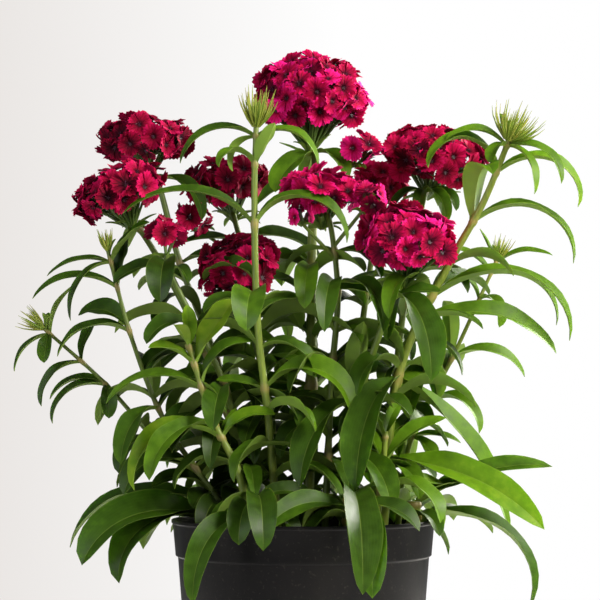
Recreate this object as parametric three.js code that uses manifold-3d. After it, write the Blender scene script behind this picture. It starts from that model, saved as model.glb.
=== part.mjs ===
// A potted dianthus, the sweet william: jointed stems with opposite leaves stand in a nursery pot, and end
// in domed heads of crimson florets, bristly green bud tufts or leafy tips. Millimetres, +Z up, the origin at
// the middle of the pot's base. -Y is the front, +X the right-hand side seen from there.
import * as THREE from "three";
import { mergeVertices } from "three/addons/utils/BufferGeometryUtils.js";
import Module from "manifold-3d";

const wasm = await Module();
wasm.setup();

// ---------------------------------------------------------------- driving dimensions

const POT = {
  height: 150,
  rimRadius: 85.5,
  lipHeight: 2.6,
  bandTopRadius: 84.6,
  bandBottomRadius: 82.8,
  bandHeight: 23,
  shoulderRadius: 81.2,
  baseRadius: 71,
  wall: 2,
  floor: 2.6,
  sides: 24,
  holeRadius: 4.5,
  holeRing: 56,
  holes: 6,
};
const SOIL = { level: 138, mound: 1.6, clear: 0.3, rings: 2 };
const CLEARANCE = 0.7; // between two pieces that nearly touch
const SLIVERS = [0.4, 0.3, 0.2, 0.1, 0.05, 0]; // how far a fused surface may move to shed its slivers
const PINCH = 0.005; // two corners nearer than this count as one
const STEM_SIDES = 5;
const JOINT_SWELL = 1.32; // how much a stem thickens at a leaf joint
const FOOT = 128; // the height at which every stem ends in the soil
const BLADE = {
  ribAtRoot: 1.7, ribAtTip: 1.0, foldAtRoot: 34, foldAtTip: 12, rootShare: 0.26, rooted: 0.16, narrow: 14,
  slim: 0.14, broad: 0.28, belly: [0.85, 1.3], fullness: 0.62,
  long: 66, longRings: [0, 0.22, 0.5, 0.78, 1], shortRings: [0, 0.3, 0.66, 1], steps: 24,
};
const PETALS = 5;
const FLORET = {
  radius: 9.4, notch: 0.42, shoulder: 20, droop: 0.8, dish: 1.2, throat: 1.5, throatDepth: 3.4, sink: 10,
};
const CALYX = { depth: 9, spread: 0.5, foot: 1.6, flutes: 5, fluteDepth: 0.78, bracts: 3, bractRadius: 0.9 };
const SPIKE_RADIUS = 0.8; // of a bud scale, at its root
const HEAD = { spacing: 18.5, lowest: 118, rounds: 40 };
const CORE_INSET = 4.6; // the florets stand this far proud of a head's core
const GOLDEN_ANGLE = 137.50776;

// What a leaf may be turned by, in degrees (round the stem, up), to pass its neighbours: least first.
const NUDGES = [
  [0, 0], [6, 0], [-6, 0], [0, 7], [0, -7], [12, 0], [-12, 0], [6, 7], [-6, 7], [6, -7], [-6, -7],
  [0, 14], [0, -14], [12, 10], [-12, 10], [12, -10], [-12, -10], [20, 0], [-20, 0], [20, 12], [-20, 12],
  [20, -12], [-20, -12], [30, 0], [-30, 0], [0, 24], [0, -24], [30, 20], [-30, 20], [30, -20], [-30, -20],
  [45, 0], [-45, 0], [45, 20], [-45, 20],
];

const MATERIALS = {
  pot: new THREE.MeshStandardMaterial({ color: 0x1b1b1d, roughness: 0.45, metalness: 0 }),
  soil: new THREE.MeshStandardMaterial({ color: 0x2b1d13, roughness: 0.95, metalness: 0 }),
  deep: new THREE.MeshStandardMaterial({ color: 0x2f5a1e, roughness: 0.5, metalness: 0 }),
  bright: new THREE.MeshStandardMaterial({ color: 0x6f9a2c, roughness: 0.5, metalness: 0 }),
  crimson: new THREE.MeshStandardMaterial({ color: 0x8e0f2e, roughness: 0.8, metalness: 0 }),
  magenta: new THREE.MeshStandardMaterial({ color: 0xc4145c, roughness: 0.8, metalness: 0 }),
};

// ---------------------------------------------------------------- the plant, as it grows

// A leaf: the direction it points in (0 is +X, 90 is +Y), its length and width, the slope of its rib at the
// root and at the tip, how late it bends (1 is an even arc) and how far the blade is rolled about its rib.
const leaf = (azimuth, length, width, rise, fall, bend = 1, roll = 0) => ({
  azimuth, length, width, rise, fall, bend, roll,
});

// The leaves that leave a stem at one joint, at a height above the surface the pot stands on.
const joint = (height, ...leaves) => ({ height, leaves });

// A domed head of florets: its middle, the way it faces, its radius across, and its height above and depth
// below the middle.
const head = (name, centre, lean, across, above, below, florets, seed) => ({
  name, centre, lean, across, above, below, florets, seed,
});

// A bristly tuft of unopened buds at a stem's end.
const tuft = (lean, length, spread, count, core, seed) => ({ lean, length, spread, count, core, seed });

const STEMS = [
  {
    name: "stem_tall_bud", tone: "bright", radii: [2.7, 1.7],
    path: [[-15, -28, FOOT], [-22, -37, 212], [-29, -43, 275], [-31, -47, 360], [-30, -47, 399]],
    joints: [
      joint(234, leaf(350, 75, 20, 52, -90, 1.1, 30), leaf(172, 32, 9, 25, -5, 1, -35)),
      joint(288, leaf(262, 56, 23, 45, -100), leaf(58, 60, 19, 28, -60)),
      joint(337, leaf(183, 93, 10, 52, -42, 1, -30), leaf(354, 82, 14, 65, -88, 1, 25)),
      joint(375, leaf(205, 34, 12, 60, -88, 1.2, -15), leaf(320, 30, 13, 62, 58)),
      joint(393, leaf(182, 60, 9, 36, -76, 1, -30), leaf(354, 52, 10, 34, -84, 1, 30),
        leaf(196, 31, 11, 8, -105, 0.8)),
    ],
    tuft: tuft([0.08, -0.05, 1], 26, 40, 16, 6, 11),
  },
  {
    name: "stem_left_shoot", tone: "bright", radii: [3.0, 1.6],
    path: [[-33, -40, FOOT], [-40, -43, 179], [-56, -44, 212], [-73, -44, 262]],
    joints: [
      joint(203, leaf(184, 82, 20, 38, -100, 1, -35), leaf(4, 40, 13, 62, -15, 1, 35),
        leaf(60, 26, 8, 50, 50)),
      joint(212, leaf(214, 66, 17, 12, -85, 1, -30)),
      joint(235, leaf(178, 68, 10, 30, -58, 1.2, -30), leaf(6, 50, 12, 88, -8, 1, 30)),
      joint(249, leaf(198, 34, 12, 56, -12, 1, -30), leaf(10, 56, 20, 66, 48, 1, 45)),
      joint(260, leaf(118, 27, 12, 88, 78), leaf(245, 26, 10, 60, 10)),
    ],
  },
  {
    name: "stem_right_tall", tone: "bright", radii: [3.2, 1.8],
    path: [[50, -4, FOOT], [62, -13, 246], [93, -17, 313], [115, -27, 353], [131, -34, 392]],
    joints: [
      joint(190, leaf(343, 114, 24, -5, -48, 1.3, 45)),
      joint(241, leaf(14, 130, 21, -30, -76, 1, 45), leaf(232, 106, 27, -4, -90)),
      joint(279, leaf(4, 98, 19, 14, -56, 1.5, 38)),
      joint(293, leaf(0, 120, 16, 34, -98, 1.5, 15)),
      joint(341, leaf(2, 90, 13, 38, -96, 1.2, 15), leaf(288, 58, 20, 84, -70, 2.2)),
      joint(372, leaf(190, 67, 14, 88, -82, 1, -30), leaf(0, 76, 13, 38, -105, 1.3, 25)),
      joint(389, leaf(185, 44, 9, 50, -40, 1, -35), leaf(0, 50, 9, 12, -95, 1.2, 35),
        leaf(318, 44, 9, 5, -100, 0.7), leaf(225, 24, 11, 30, -95)),
    ],
    tuft: tuft([0.42, -0.1, 0.9], 27, 54, 18, 8, 12),
  },
  {
    name: "stem_low_right_head", tone: "deep", radii: [2.4, 1.7],
    path: [[26, -18, FOOT], [36, -24, 228], [55, -30, 287], [60, -32, 302]],
    joints: [
      joint(193, leaf(312, 56, 20, 0, -80, 1, 15)),
      joint(226, leaf(300, 52, 17, 88, 66), leaf(228, 86, 23, 2, -88)),
      joint(291, leaf(297, 84, 24, 32, -94, 0.6), leaf(180, 50, 10, 25, -15, 1, -35)),
      joint(291, leaf(350, 32, 14, 34, -10, 1, 30)),
    ],
    heads: [head("flowers_low_right", [66, -38, 327], [0.05, -0.3, 0.95], 31, 23, 20, 17, 21)],
    magenta: true,
  },
  {
    name: "stem_centre_head", tone: "deep", radii: [2.3, 1.6],
    path: [[13, -15, FOOT], [18, -16, 240], [22, -17, 300], [15, -20, 346]],
    joints: [
      joint(190, leaf(20, 60, 18, 40, -60, 1, 35)),
      joint(253, leaf(30, 50, 16, 40, -50, 1, 35), leaf(150, 50, 14, 35, -60)),
      joint(297, leaf(258, 68, 16, 58, -94, 0.7, -15), leaf(305, 66, 15, 55, -94, 0.7, 15)),
      joint(322, leaf(335, 40, 12, 30, -80, 1, 35), leaf(140, 46, 11, 25, -50)),
    ],
    heads: [
      head("flowers_centre", [13, -21, 361], [0.05, -0.3, 0.95], 26, 15, 15, 10, 22),
      head("flowers_centre_lower", [-2, -40, 345], [-0.1, -0.8, 0.6], 8, 5, 7, 2, 23),
      head("flowers_centre_right", [42, -43, 356], [0.35, -0.55, 0.75], 10, 6, 8, 3, 24),
    ],
    magenta: true,
  },
  {
    name: "stem_big_head", tone: "bright", radii: [3.7, 2.2],
    path: [[2, 2, FOOT], [5, 3, 236], [6, 13, 340], [8, 16, 375], [7, 16, 392]],
    joints: [
      joint(205, leaf(12, 60, 20, 25, -50, 1, 35)),
      joint(236, leaf(186, 62, 21, 15, -30, 1, -25), leaf(60, 60, 18, 35, -60)),
      joint(313, leaf(110, 70, 24, 45, -60), leaf(262, 54, 17, 30, -92, 0.8)),
      joint(366, leaf(8, 62, 12, 25, -75, 1, 35), leaf(165, 44, 16, 25, -50, 1, -35)),
      joint(391, leaf(306, 38, 14, 12, -78, 0.9, 15), leaf(205, 42, 20, 0, -75, 1, -35),
        leaf(100, 45, 13, 10, -70)),
    ],
    heads: [
      head("flowers_big", [5, 15, 424], [0.01, -0.09, 1], 38, 31, 25, 28, 25),
      head("flowers_big_side", [39, 0, 392], [0.35, -0.55, 0.75], 11, 8, 9, 3, 26),
    ],
    magenta: true,
  },
  {
    name: "stem_left_small_head", tone: "deep", radii: [2.2, 1.6],
    path: [[-24, -8, FOOT], [-50, -25, 235], [-79, -33, 295], [-87, -35, 313]],
    joints: [
      joint(236, leaf(262, 54, 18, 12, -74)),
      joint(274, leaf(200, 40, 15, 30, -70, 1, -35), leaf(20, 44, 16, 50, -20, 1, 35)),
      joint(311, leaf(266, 52, 20, 50, -95, 0.7), leaf(186, 38, 13, 15, -50, 1, -35)),
    ],
    heads: [head("flowers_left_small", [-88, -38, 332], [-0.05, -0.15, 1], 12, 8, 9, 3, 27)],
  },
  {
    name: "stem_low_left_head", tone: "deep", radii: [2.4, 1.7],
    path: [[-8, 8, FOOT], [-27, 6, 246], [-36, 5, 282]],
    joints: [
      joint(215, leaf(240, 60, 18, 30, -66)),
      joint(250, leaf(175, 60, 17, 35, -60, 1, -20), leaf(328, 58, 20, 40, -60, 1, 35)),
      joint(278, leaf(29, 45, 16, 34, -50, 1, 35), leaf(156, 48, 13, 30, -60)),
    ],
    heads: [head("flowers_low_left", [-43, -15, 312], [-0.3, -0.66, 0.69], 26, 17, 17, 11, 28)],
  },
  {
    name: "stem_left_head", tone: "deep", radii: [2.5, 1.7],
    path: [[-30, 6, FOOT], [-50, 0, 220], [-74, -9, 281], [-109, -20, 340]],
    joints: [
      joint(220, leaf(205, 62, 20, 20, -92, 1, -35), leaf(45, 50, 16, 40, -50)),
      joint(256, leaf(165, 50, 18, 30, -70, 1, -35), leaf(340, 50, 17, 50, -30, 1, 35)),
      joint(308, leaf(290, 34, 11, 40, -70)),
      joint(337, leaf(110, 34, 10, 20, -60)),
    ],
    heads: [head("flowers_left", [-119, -25, 360], [-0.34, -0.2, 0.92], 30, 17, 17, 13, 29)],
  },
  {
    name: "stem_right_head", tone: "deep", radii: [2.6, 1.8],
    path: [[44, 9, FOOT], [61, 19, 245], [67, 23, 291], [82, 30, 368]],
    joints: [
      joint(215, leaf(120, 60, 18, 35, -60), leaf(310, 46, 17, 45, -60)),
      joint(291, leaf(80, 56, 16, 40, -60)),
      joint(337, leaf(170, 40, 12, 20, -60, 1, -35)),
      joint(366, leaf(196, 36, 8, 20, -92, 1, -35), leaf(250, 38, 10, 20, -92, 0.8),
        leaf(292, 40, 12, 20, -90, 0.8), leaf(345, 30, 9, 20, -92, 1, 35)),
    ],
    heads: [head("flowers_right", [87, 32, 391], [0.12, -0.35, 0.93], 35, 20, 21, 19, 30)],
  },
  {
    name: "stem_left_upper_bud", tone: "deep", radii: [2.1, 1.2],
    path: [[-38, -17, FOOT], [-46, -19, 150], [-88, -24, 212], [-110, -26, 267], [-125, -29, 322]],
    joints: [
      joint(184, leaf(200, 60, 20, 40, -80, 1, -35), leaf(30, 46, 15, 50, -50)),
      joint(222, leaf(240, 60, 17, 5, -86), leaf(20, 50, 17, 60, 0, 1, 35)),
      joint(271, leaf(178, 56, 11, 28, -72, 1.1, -30), leaf(150, 46, 17, 58, -28, 1, -35)),
      joint(299, leaf(180, 60, 9, 32, -52, 1.1, -30), leaf(45, 34, 15, 76, 80)),
      joint(315, leaf(180, 44, 6, 20, -45, 1, -30), leaf(200, 52, 6, 0, -100, 0.8, -30),
        leaf(335, 38, 13, 62, 20, 1, 30)),
    ],
    tuft: tuft([-0.2, 0, 1], 15, 30, 8, 3, 13),
  },
  {
    name: "stem_left_low_bud", tone: "deep", radii: [1.9, 1.1],
    path: [[-44, 2, FOOT], [-52, 1, 155], [-98, -3, 203], [-129, -6, 238], [-168, -8, 273]],
    joints: [
      joint(203, leaf(228, 42, 15, 10, -85), leaf(60, 46, 14, 50, -40)),
      joint(237, leaf(183, 50, 9, 12, -95, 1.2, -30), leaf(168, 44, 10, 32, -60, 1, -30),
        leaf(285, 27, 12, -15, -92, 0.7)),
      joint(252, leaf(185, 44, 9, 0, -98, 1, -30), leaf(55, 34, 10, 88, 30)),
      joint(270, leaf(6, 38, 8, 88, 35), leaf(182, 36, 6, -10, -85, 1, -30),
        leaf(262, 24, 11, -30, -85)),
    ],
    tuft: tuft([-0.82, 0, 0.55], 20, 30, 8, 3, 14),
  },
  {
    name: "stem_right_slender_bud", tone: "bright", radii: [2.0, 1.1],
    path: [[60, 20, FOOT], [72, 29, 203], [99, 36, 254], [131, 44, 322]],
    joints: [
      joint(203, leaf(5, 34, 8, 15, -30, 1, 35), leaf(328, 26, 12, -15, -75, 1, 20)),
      joint(254, leaf(2, 58, 12, 38, -64, 1, 35), leaf(262, 46, 13, 92, 10, 2.5)),
      joint(295, leaf(178, 34, 8, 78, 5, 1, -30), leaf(310, 35, 12, 35, -112, 0.8)),
      joint(313, leaf(4, 66, 9, 4, -100, 1.4, 35), leaf(178, 32, 9, 55, 10, 1, -30)),
      joint(320, leaf(352, 40, 6, 38, -25, 1, 35), leaf(150, 26, 5, 80, 60)),
    ],
    tuft: tuft([0.3, 0, 0.95], 17, 30, 8, 3, 15),
  },
  {
    name: "stem_upper_left_head", tone: "deep", radii: [2.5, 1.7],
    path: [[-26, 22, FOOT], [-52, 33, 236], [-83, 41, 319], [-101, 47, 379]],
    joints: [
      joint(200, leaf(170, 62, 21, 35, -75, 1, -35), leaf(0, 46, 17, 40, -50, 1, 35)),
      joint(256, leaf(110, 56, 17, 40, -60), leaf(200, 50, 17, 35, -70, 1, -35)),
      joint(319, leaf(345, 46, 13, 35, -60, 1, 35), leaf(150, 44, 12, 35, -60)),
      joint(377, leaf(352, 52, 12, 12, -95, 1, 30), leaf(186, 46, 12, 15, -60, 1, -35)),
    ],
    heads: [head("flowers_upper_left", [-107, 49, 402], [-0.05, -0.18, 0.98], 32, 21, 17, 14, 31)],
  },
  {
    name: "stem_mid_left_head", tone: "deep", radii: [2.5, 1.7],
    path: [[-12, 26, FOOT], [-20, 38, 200], [-30, 52, 281], [-48, 64, 354]],
    joints: [
      joint(190, leaf(60, 62, 18, 35, -70)),
      joint(256, leaf(120, 62, 18, 35, -65), leaf(300, 50, 17, 45, -50)),
      joint(336, leaf(196, 46, 10, 20, -20, 1, -35), leaf(230, 36, 12, 10, -92),
        leaf(12, 62, 18, 25, -50, 1, 30)),
    ],
    heads: [
      head("flowers_mid_left", [-52, 68, 376], [-0.15, -0.2, 0.97], 30, 18, 17, 12, 32),
      head("flowers_mid_left_side", [-74, 44, 350], [-0.2, -0.75, 0.6], 12, 7, 8, 3, 33),
    ],
  },
  {
    name: "stem_mid_right_head", tone: "deep", radii: [2.4, 1.6],
    path: [[24, 26, FOOT], [39, 51, 271], [51, 66, 353]],
    joints: [
      joint(185, leaf(70, 62, 18, 35, -70)),
      joint(240, leaf(20, 56, 20, 40, -60, 1, 35), leaf(130, 60, 17, 35, -65)),
      joint(302, leaf(60, 56, 15, 35, -70), leaf(215, 46, 13, 30, -60)),
    ],
    heads: [head("flowers_mid_right", [53, 69, 374], [0.1, -0.2, 0.97], 20, 14, 14, 7, 34)],
  },
  {
    name: "stem_right_shoot", tone: "bright", radii: [2.7, 1.5],
    path: [[43, -31, FOOT], [50, -33, 182], [52, -34, 207]],
    joints: [
      joint(170, leaf(318, 56, 20, 45, -85), leaf(12, 42, 12, 25, -15, 1, 35)),
      joint(186, leaf(8, 52, 14, 60, 12, 1, 35), leaf(150, 32, 9, 60, 40)),
      joint(203, leaf(60, 30, 9, 75, 20, 1, 30), leaf(200, 28, 9, 80, 50, 1, -30)),
    ],
  },
  {
    name: "rosette_left", tone: "deep", radii: [5.5, 3.5],
    path: [[-55, -8, FOOT], [-57, -9, 165]],
    joints: [
      joint(146, leaf(202, 92, 26, 26, -98, 1.1, -30), leaf(140, 80, 20, 30, -75, 1.3)),
      joint(152, leaf(190, 102, 34, 14, -72, 1.6, -35), leaf(247, 42, 16, 36, -80, 1, -20)),
      joint(158, leaf(175, 114, 22, 19, -72, 1.6, -25), leaf(90, 60, 18, 58, -60)),
      joint(163, leaf(208, 50, 15, 62, -40, 1, -25), leaf(60, 40, 13, 70, 20)),
    ],
  },
  {
    name: "rosette_front_left", tone: "deep", radii: [5.5, 3.5],
    path: [[-30, -56, FOOT], [-30, -58, 166]],
    joints: [
      joint(152, leaf(232, 90, 19, 20, -98, 1, -20), leaf(168, 36, 14, 25, -40, 1, -40)),
      joint(158, leaf(255, 52, 19, 42, -98), leaf(316, 44, 15, 20, -90)),
      joint(161, leaf(277, 70, 20, 44, -98)),
      joint(164, leaf(10, 40, 14, 40, -40, 1, 40), leaf(100, 36, 13, 70, 10)),
    ],
  },
  {
    name: "rosette_front_right", tone: "deep", radii: [5.5, 3.5],
    path: [[29, -58, FOOT], [29, -58, 168]],
    joints: [
      joint(152, leaf(281, 93, 25, 44, -98, 0.8, 12), leaf(224, 42, 15, 38, -75)),
      joint(158, leaf(202, 66, 17, 30, -50, 1, -45), leaf(345, 50, 16, 30, -60, 1, 30)),
      joint(165, leaf(269, 103, 26, 40, -98, 0.75, -12), leaf(100, 50, 17, 70, -10)),
    ],
  },
  {
    name: "rosette_right", tone: "deep", radii: [5.5, 3.5],
    path: [[70, -12, FOOT], [71, -13, 162]],
    joints: [
      joint(146, leaf(32, 70, 18, 28, -50, 1.3)),
      joint(152, leaf(356, 117, 18, 10, -116, 1.5, 15), leaf(60, 66, 18, 40, -50), leaf(300, 36, 13, 30, -70)),
      joint(160, leaf(358, 94, 17, 38, -10, 1.6, 40), leaf(332, 44, 10, 44, -12, 1, 25)),
    ],
  },
  {
    name: "rosette_back_left", tone: "deep", radii: [5.5, 3.5],
    path: [[-36, 50, FOOT], [-36, 53, 162]],
    joints: [
      joint(146, leaf(120, 92, 23, 26, -92, 1.2), leaf(160, 66, 19, 30, -60, 1.3, -20)),
      joint(153, leaf(95, 96, 25, 34, -92, 1.2), leaf(143, 88, 20, 36, -70, 1.3)),
      joint(160, leaf(75, 56, 18, 50, -80), leaf(180, 50, 16, 50, -60)),
    ],
  },
  {
    name: "rosette_back_right", tone: "deep", radii: [5.5, 3.5],
    path: [[34, 53, FOOT], [34, 55, 162]],
    joints: [
      joint(146, leaf(60, 94, 22, 26, -92, 1.2), leaf(15, 84, 21, 26, -80, 1.3, 20)),
      joint(153, leaf(86, 98, 26, 34, -92, 1.2), leaf(38, 88, 20, 36, -70, 1.3)),
      joint(160, leaf(110, 56, 17, 50, -80), leaf(5, 50, 16, 50, -60)),
    ],
  },
];

// ---------------------------------------------------------------- small tools

const RAD = Math.PI / 180;
const mix = (a, b, t) => a + (b - a) * t;
const clamp01 = (v) => Math.min(1, Math.max(0, v));

// A number from 0 to 1 that depends only on the seed and the draw's index.
function draw(seed, index) {
  const wave = Math.sin(seed * 127.1 + index * 311.7) * 43758.5453;
  return wave - Math.floor(wave);
}

// A closed three.js geometry as a solid to join and cut, without the triangles that shrank to a line.
function solidOf(geometry) {
  const bare = geometry.clone();
  bare.deleteAttribute("normal");
  bare.deleteAttribute("uv");
  const merged = mergeVertices(bare, 1e-4);
  const corners = merged.index.array;
  const kept = [];
  for (let i = 0; i < corners.length; i += 3) {
    const [a, b, c] = corners.subarray(i, i + 3);
    if (a !== b && b !== c && c !== a) kept.push(a, b, c);
  }
  return new wasm.Manifold(new wasm.Mesh({
    numProp: 3,
    vertProperties: merged.attributes.position.array,
    triVerts: new Uint32Array(kept),
  }));
}

// Moves every vertex of a geometry to where place(vertex) puts it.
function reshape(geometry, place) {
  const position = geometry.attributes.position;
  const vertex = new THREE.Vector3();
  for (let i = 0; i < position.count; i++) {
    vertex.fromBufferAttribute(position, i);
    place(vertex);
    position.setXYZ(i, vertex.x, vertex.y, vertex.z);
  }
  return geometry;
}

// The largest body of a solid, without the loose scraps that cutting leaves.
function largestBody(solid) {
  const bodies = solid.decompose();
  return bodies.reduce((best, body) => (body.volume() > best.volume() ? body : best));
}

// Whether all the corners of a mesh lie apart, so that none of its surfaces pinch together.
function isUnpinched({ numProp, numVert, vertProperties }) {
  const places = new Set();
  for (let i = 0; i < numVert; i++) {
    const corner = Array.from(vertProperties.subarray(i * numProp, i * numProp + 3));
    places.add(corner.map((v) => Math.round(v / PINCH)).join());
  }
  return places.size === numVert;
}

// The mesh of a fused piece, without loose scraps and with as few slivers as it takes to stay clean.
function tidyMesh(solid) {
  const whole = solid.asOriginal();
  const meshes = SLIVERS.map((sliver) => largestBody(whole.simplify(sliver)).getMesh());
  return meshes.find(isUnpinched) ?? meshes.at(-1);
}

// ---------------------------------------------------------------- stems

const curveOf = (points) => new THREE.CatmullRomCurve3(points.map((p) => new THREE.Vector3(...p)));

// How far along a rising curve, from 0 to 1, it reaches a height.
function shareAtHeight(curve, height) {
  let low = 0;
  let high = 1;
  for (let i = 0; i < 40; i++) {
    const middle = (low + high) / 2;
    if (curve.getPoint(middle).z < height) low = middle;
    else high = middle;
  }
  return (low + high) / 2;
}

// A round, tapering stem along a curve, with rings at the given shares and a swelling at the joints.
function stemSolid(curve, shares, jointShares, radii, extra = 0) {
  const rings = shares.length - 1;
  const across = new THREE.Vector3(0, 1, 0);
  const geometry = new THREE.CylinderGeometry(1, 1, 1, STEM_SIDES, rings);
  return solidOf(reshape(geometry, (v) => {
    const share = shares[Math.round((v.y + 0.5) * rings)];
    const swell = jointShares.includes(share) ? JOINT_SWELL : 1;
    const radius = mix(radii[0], radii[1], share) * swell + extra;
    const tangent = curve.getTangent(share);
    const side = new THREE.Vector3().crossVectors(tangent, across).normalize();
    const front = new THREE.Vector3().crossVectors(side, tangent);
    const { x, z } = v;
    v.copy(curve.getPoint(share)).addScaledVector(side, x * radius).addScaledVector(front, z * radius);
  }));
}

// The shares at which a stem has its rings: its two ends, its joints and the middles between them.
function ringShares(jointShares) {
  const marks = [0, ...jointShares, 1];
  const shares = [];
  marks.forEach((mark, i) => {
    shares.push(mark);
    const next = marks[i + 1];
    if (next - mark > 0.34) shares.push(mix(mark, next, 1 / 3), mix(mark, next, 2 / 3));
    else if (next - mark > 0.1) shares.push((mark + next) / 2);
  });
  return shares;
}

// ---------------------------------------------------------------- leaves

// The half width of a blade at a share of its length: a clasping root, then a slim blade that is widest below
// its middle and runs out in a long point, or a broad one that is widest past its middle.
function halfWidth({ width, length }, share) {
  const { slim, broad } = BLADE;
  const breadth = THREE.MathUtils.clamp((width / length - slim) / (broad - slim), 0, 1);
  const blade = Math.sin(Math.PI * share ** mix(...BLADE.belly, breadth)) ** BLADE.fullness;
  return (width / 2) * Math.max(blade, BLADE.rootShare * (1 - share));
}

// The point of a leaf's rib at a share of its length, with the frame of the blade there.
function ribFrame(root, spec, share) {
  const steps = BLADE.steps;
  const heading = new THREE.Vector3(Math.cos(spec.azimuth * RAD), Math.sin(spec.azimuth * RAD), 0);
  const slopeAt = (t) => mix(spec.rise, spec.fall, t ** spec.bend) * RAD;
  const point = root.clone();
  for (let i = 0; i < steps; i++) {
    const slope = slopeAt(((i + 0.5) / steps) * share);
    const step = (spec.length * share) / steps;
    point.addScaledVector(heading, Math.cos(slope) * step);
    point.z += Math.sin(slope) * step;
  }
  const slope = slopeAt(share);
  const along = heading.clone().multiplyScalar(Math.cos(slope)).setZ(Math.sin(slope));
  const level = new THREE.Vector3(-heading.y, heading.x, 0);
  const up = new THREE.Vector3().crossVectors(along, level);
  const roll = spec.roll * RAD * clamp01(share * 3);
  const side = level.clone().multiplyScalar(Math.cos(roll)).addScaledVector(up, Math.sin(roll));
  const normal = up.multiplyScalar(Math.cos(roll)).addScaledVector(level, -Math.sin(roll));
  return { point, side, normal };
}

// A channelled blade drawn to a point, four-cornered in section or, where it is narrow, three-cornered. grow
// makes it fatter all round, and start leaves out its root up to that share.
function leafSolid(root, spec, grow = 0, start = 0) {
  const isNarrow = spec.width < BLADE.narrow;
  const facing = isNarrow ? -1 : 1;
  const rings = spec.length > BLADE.long ? BLADE.longRings : BLADE.shortRings;
  const spans = rings.length - 1;
  const geometry = new THREE.CylinderGeometry(0, 1, 1, isNarrow ? 3 : 4, spans);
  return solidOf(reshape(geometry, (v) => {
    const share = mix(start, 1, rings[Math.round((v.y + 0.5) * spans)]);
    const edge = Math.abs(v.x) > 1e-6 ? -facing * Math.sign(v.x) : 0;
    const ridge = edge === 0 ? facing * Math.sign(v.z) : 0;
    const { point, side, normal } = ribFrame(root, spec, share);
    const half = share < 1 ? halfWidth(spec, share) + grow : 0;
    const fold = mix(BLADE.foldAtRoot, BLADE.foldAtTip, share) * (isNarrow ? 0.4 : 1) * RAD;
    const ribScale = isNarrow ? 0.8 : 0.5;
    const rib = share < 1 ? mix(BLADE.ribAtRoot, BLADE.ribAtTip, share) * ribScale + grow : 0;
    v.copy(point);
    v.addScaledVector(side, edge * half * Math.cos(fold));
    v.addScaledVector(normal, Math.abs(edge) * half * Math.sin(fold) + ridge * rib);
  }));
}

// ---------------------------------------------------------------- heads, calyces and bristles

// The unit vectors across, across and along a direction.
function frameAlong(direction) {
  const along = new THREE.Vector3(...direction).normalize();
  const across = new THREE.Vector3(0, 1, 0).cross(along).normalize();
  return { across, second: new THREE.Vector3().crossVectors(along, across), along };
}

// A point in a head's own frame (across, second, along) as a point of the part.
function fromHead(spec, frame, x, y, z) {
  return new THREE.Vector3(...spec.centre)
    .addScaledVector(frame.across, x)
    .addScaledVector(frame.second, y)
    .addScaledVector(frame.along, z);
}

// Directions from a head's middle, on a spiral and then pushed apart until they lie evenly on its dome.
function spreadDirections(spec) {
  const lowest = Math.cos(HEAD.lowest * RAD);
  const stretch = (d) => new THREE.Vector3(d.x * spec.across, d.y * spec.across, d.z * spec.above);
  const directions = Array.from({ length: spec.florets }, (_, i) => {
    const turn = (i * GOLDEN_ANGLE + spec.seed * 40) * RAD;
    const z = mix(0.97, lowest, (i + 0.2) / spec.florets);
    return new THREE.Vector3(Math.cos(turn), Math.sin(turn), 0).multiplyScalar(Math.sqrt(1 - z * z)).setZ(z);
  });
  for (let round = 0; round < HEAD.rounds; round++) {
    for (const one of directions) {
      for (const other of directions) {
        const gap = stretch(one).sub(stretch(other));
        const distance = gap.length();
        if (one === other || distance > HEAD.spacing) continue;
        const push = gap.multiplyScalar((0.3 * (HEAD.spacing - distance)) / (distance * spec.across));
        one.add(push).normalize();
        other.sub(push).normalize();
      }
      one.z = Math.max(one.z, lowest);
      one.normalize();
    }
  }
  return directions;
}

// Where each floret of a head sits, which way it faces, its size and its turn about its own axis.
function floretPlaces(spec) {
  const frame = frameAlong(spec.lean);
  return spreadDirections(spec).map((direction, i) => {
    const height = direction.z > 0 ? spec.above : spec.below;
    const lift = spec.florets > 3 && i % 2 ? -1.6 : 0;
    const across = spec.across + lift - 1;
    const { x, y, z } = direction;
    const centre = fromHead(spec, frame, x * across, y * across, z * (height + lift));
    const facing = new THREE.Vector3()
      .addScaledVector(frame.across, direction.x / spec.across)
      .addScaledVector(frame.second, direction.y / spec.across)
      .addScaledVector(frame.along, direction.z / height)
      .normalize();
    const size = Math.min(FLORET.radius, spec.across * 0.72) * mix(0.94, 1.03, draw(spec.seed, i + 250));
    return { centre, facing, size, spin: (draw(spec.seed, i + 300) * 360) / PETALS };
  });
}

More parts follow.
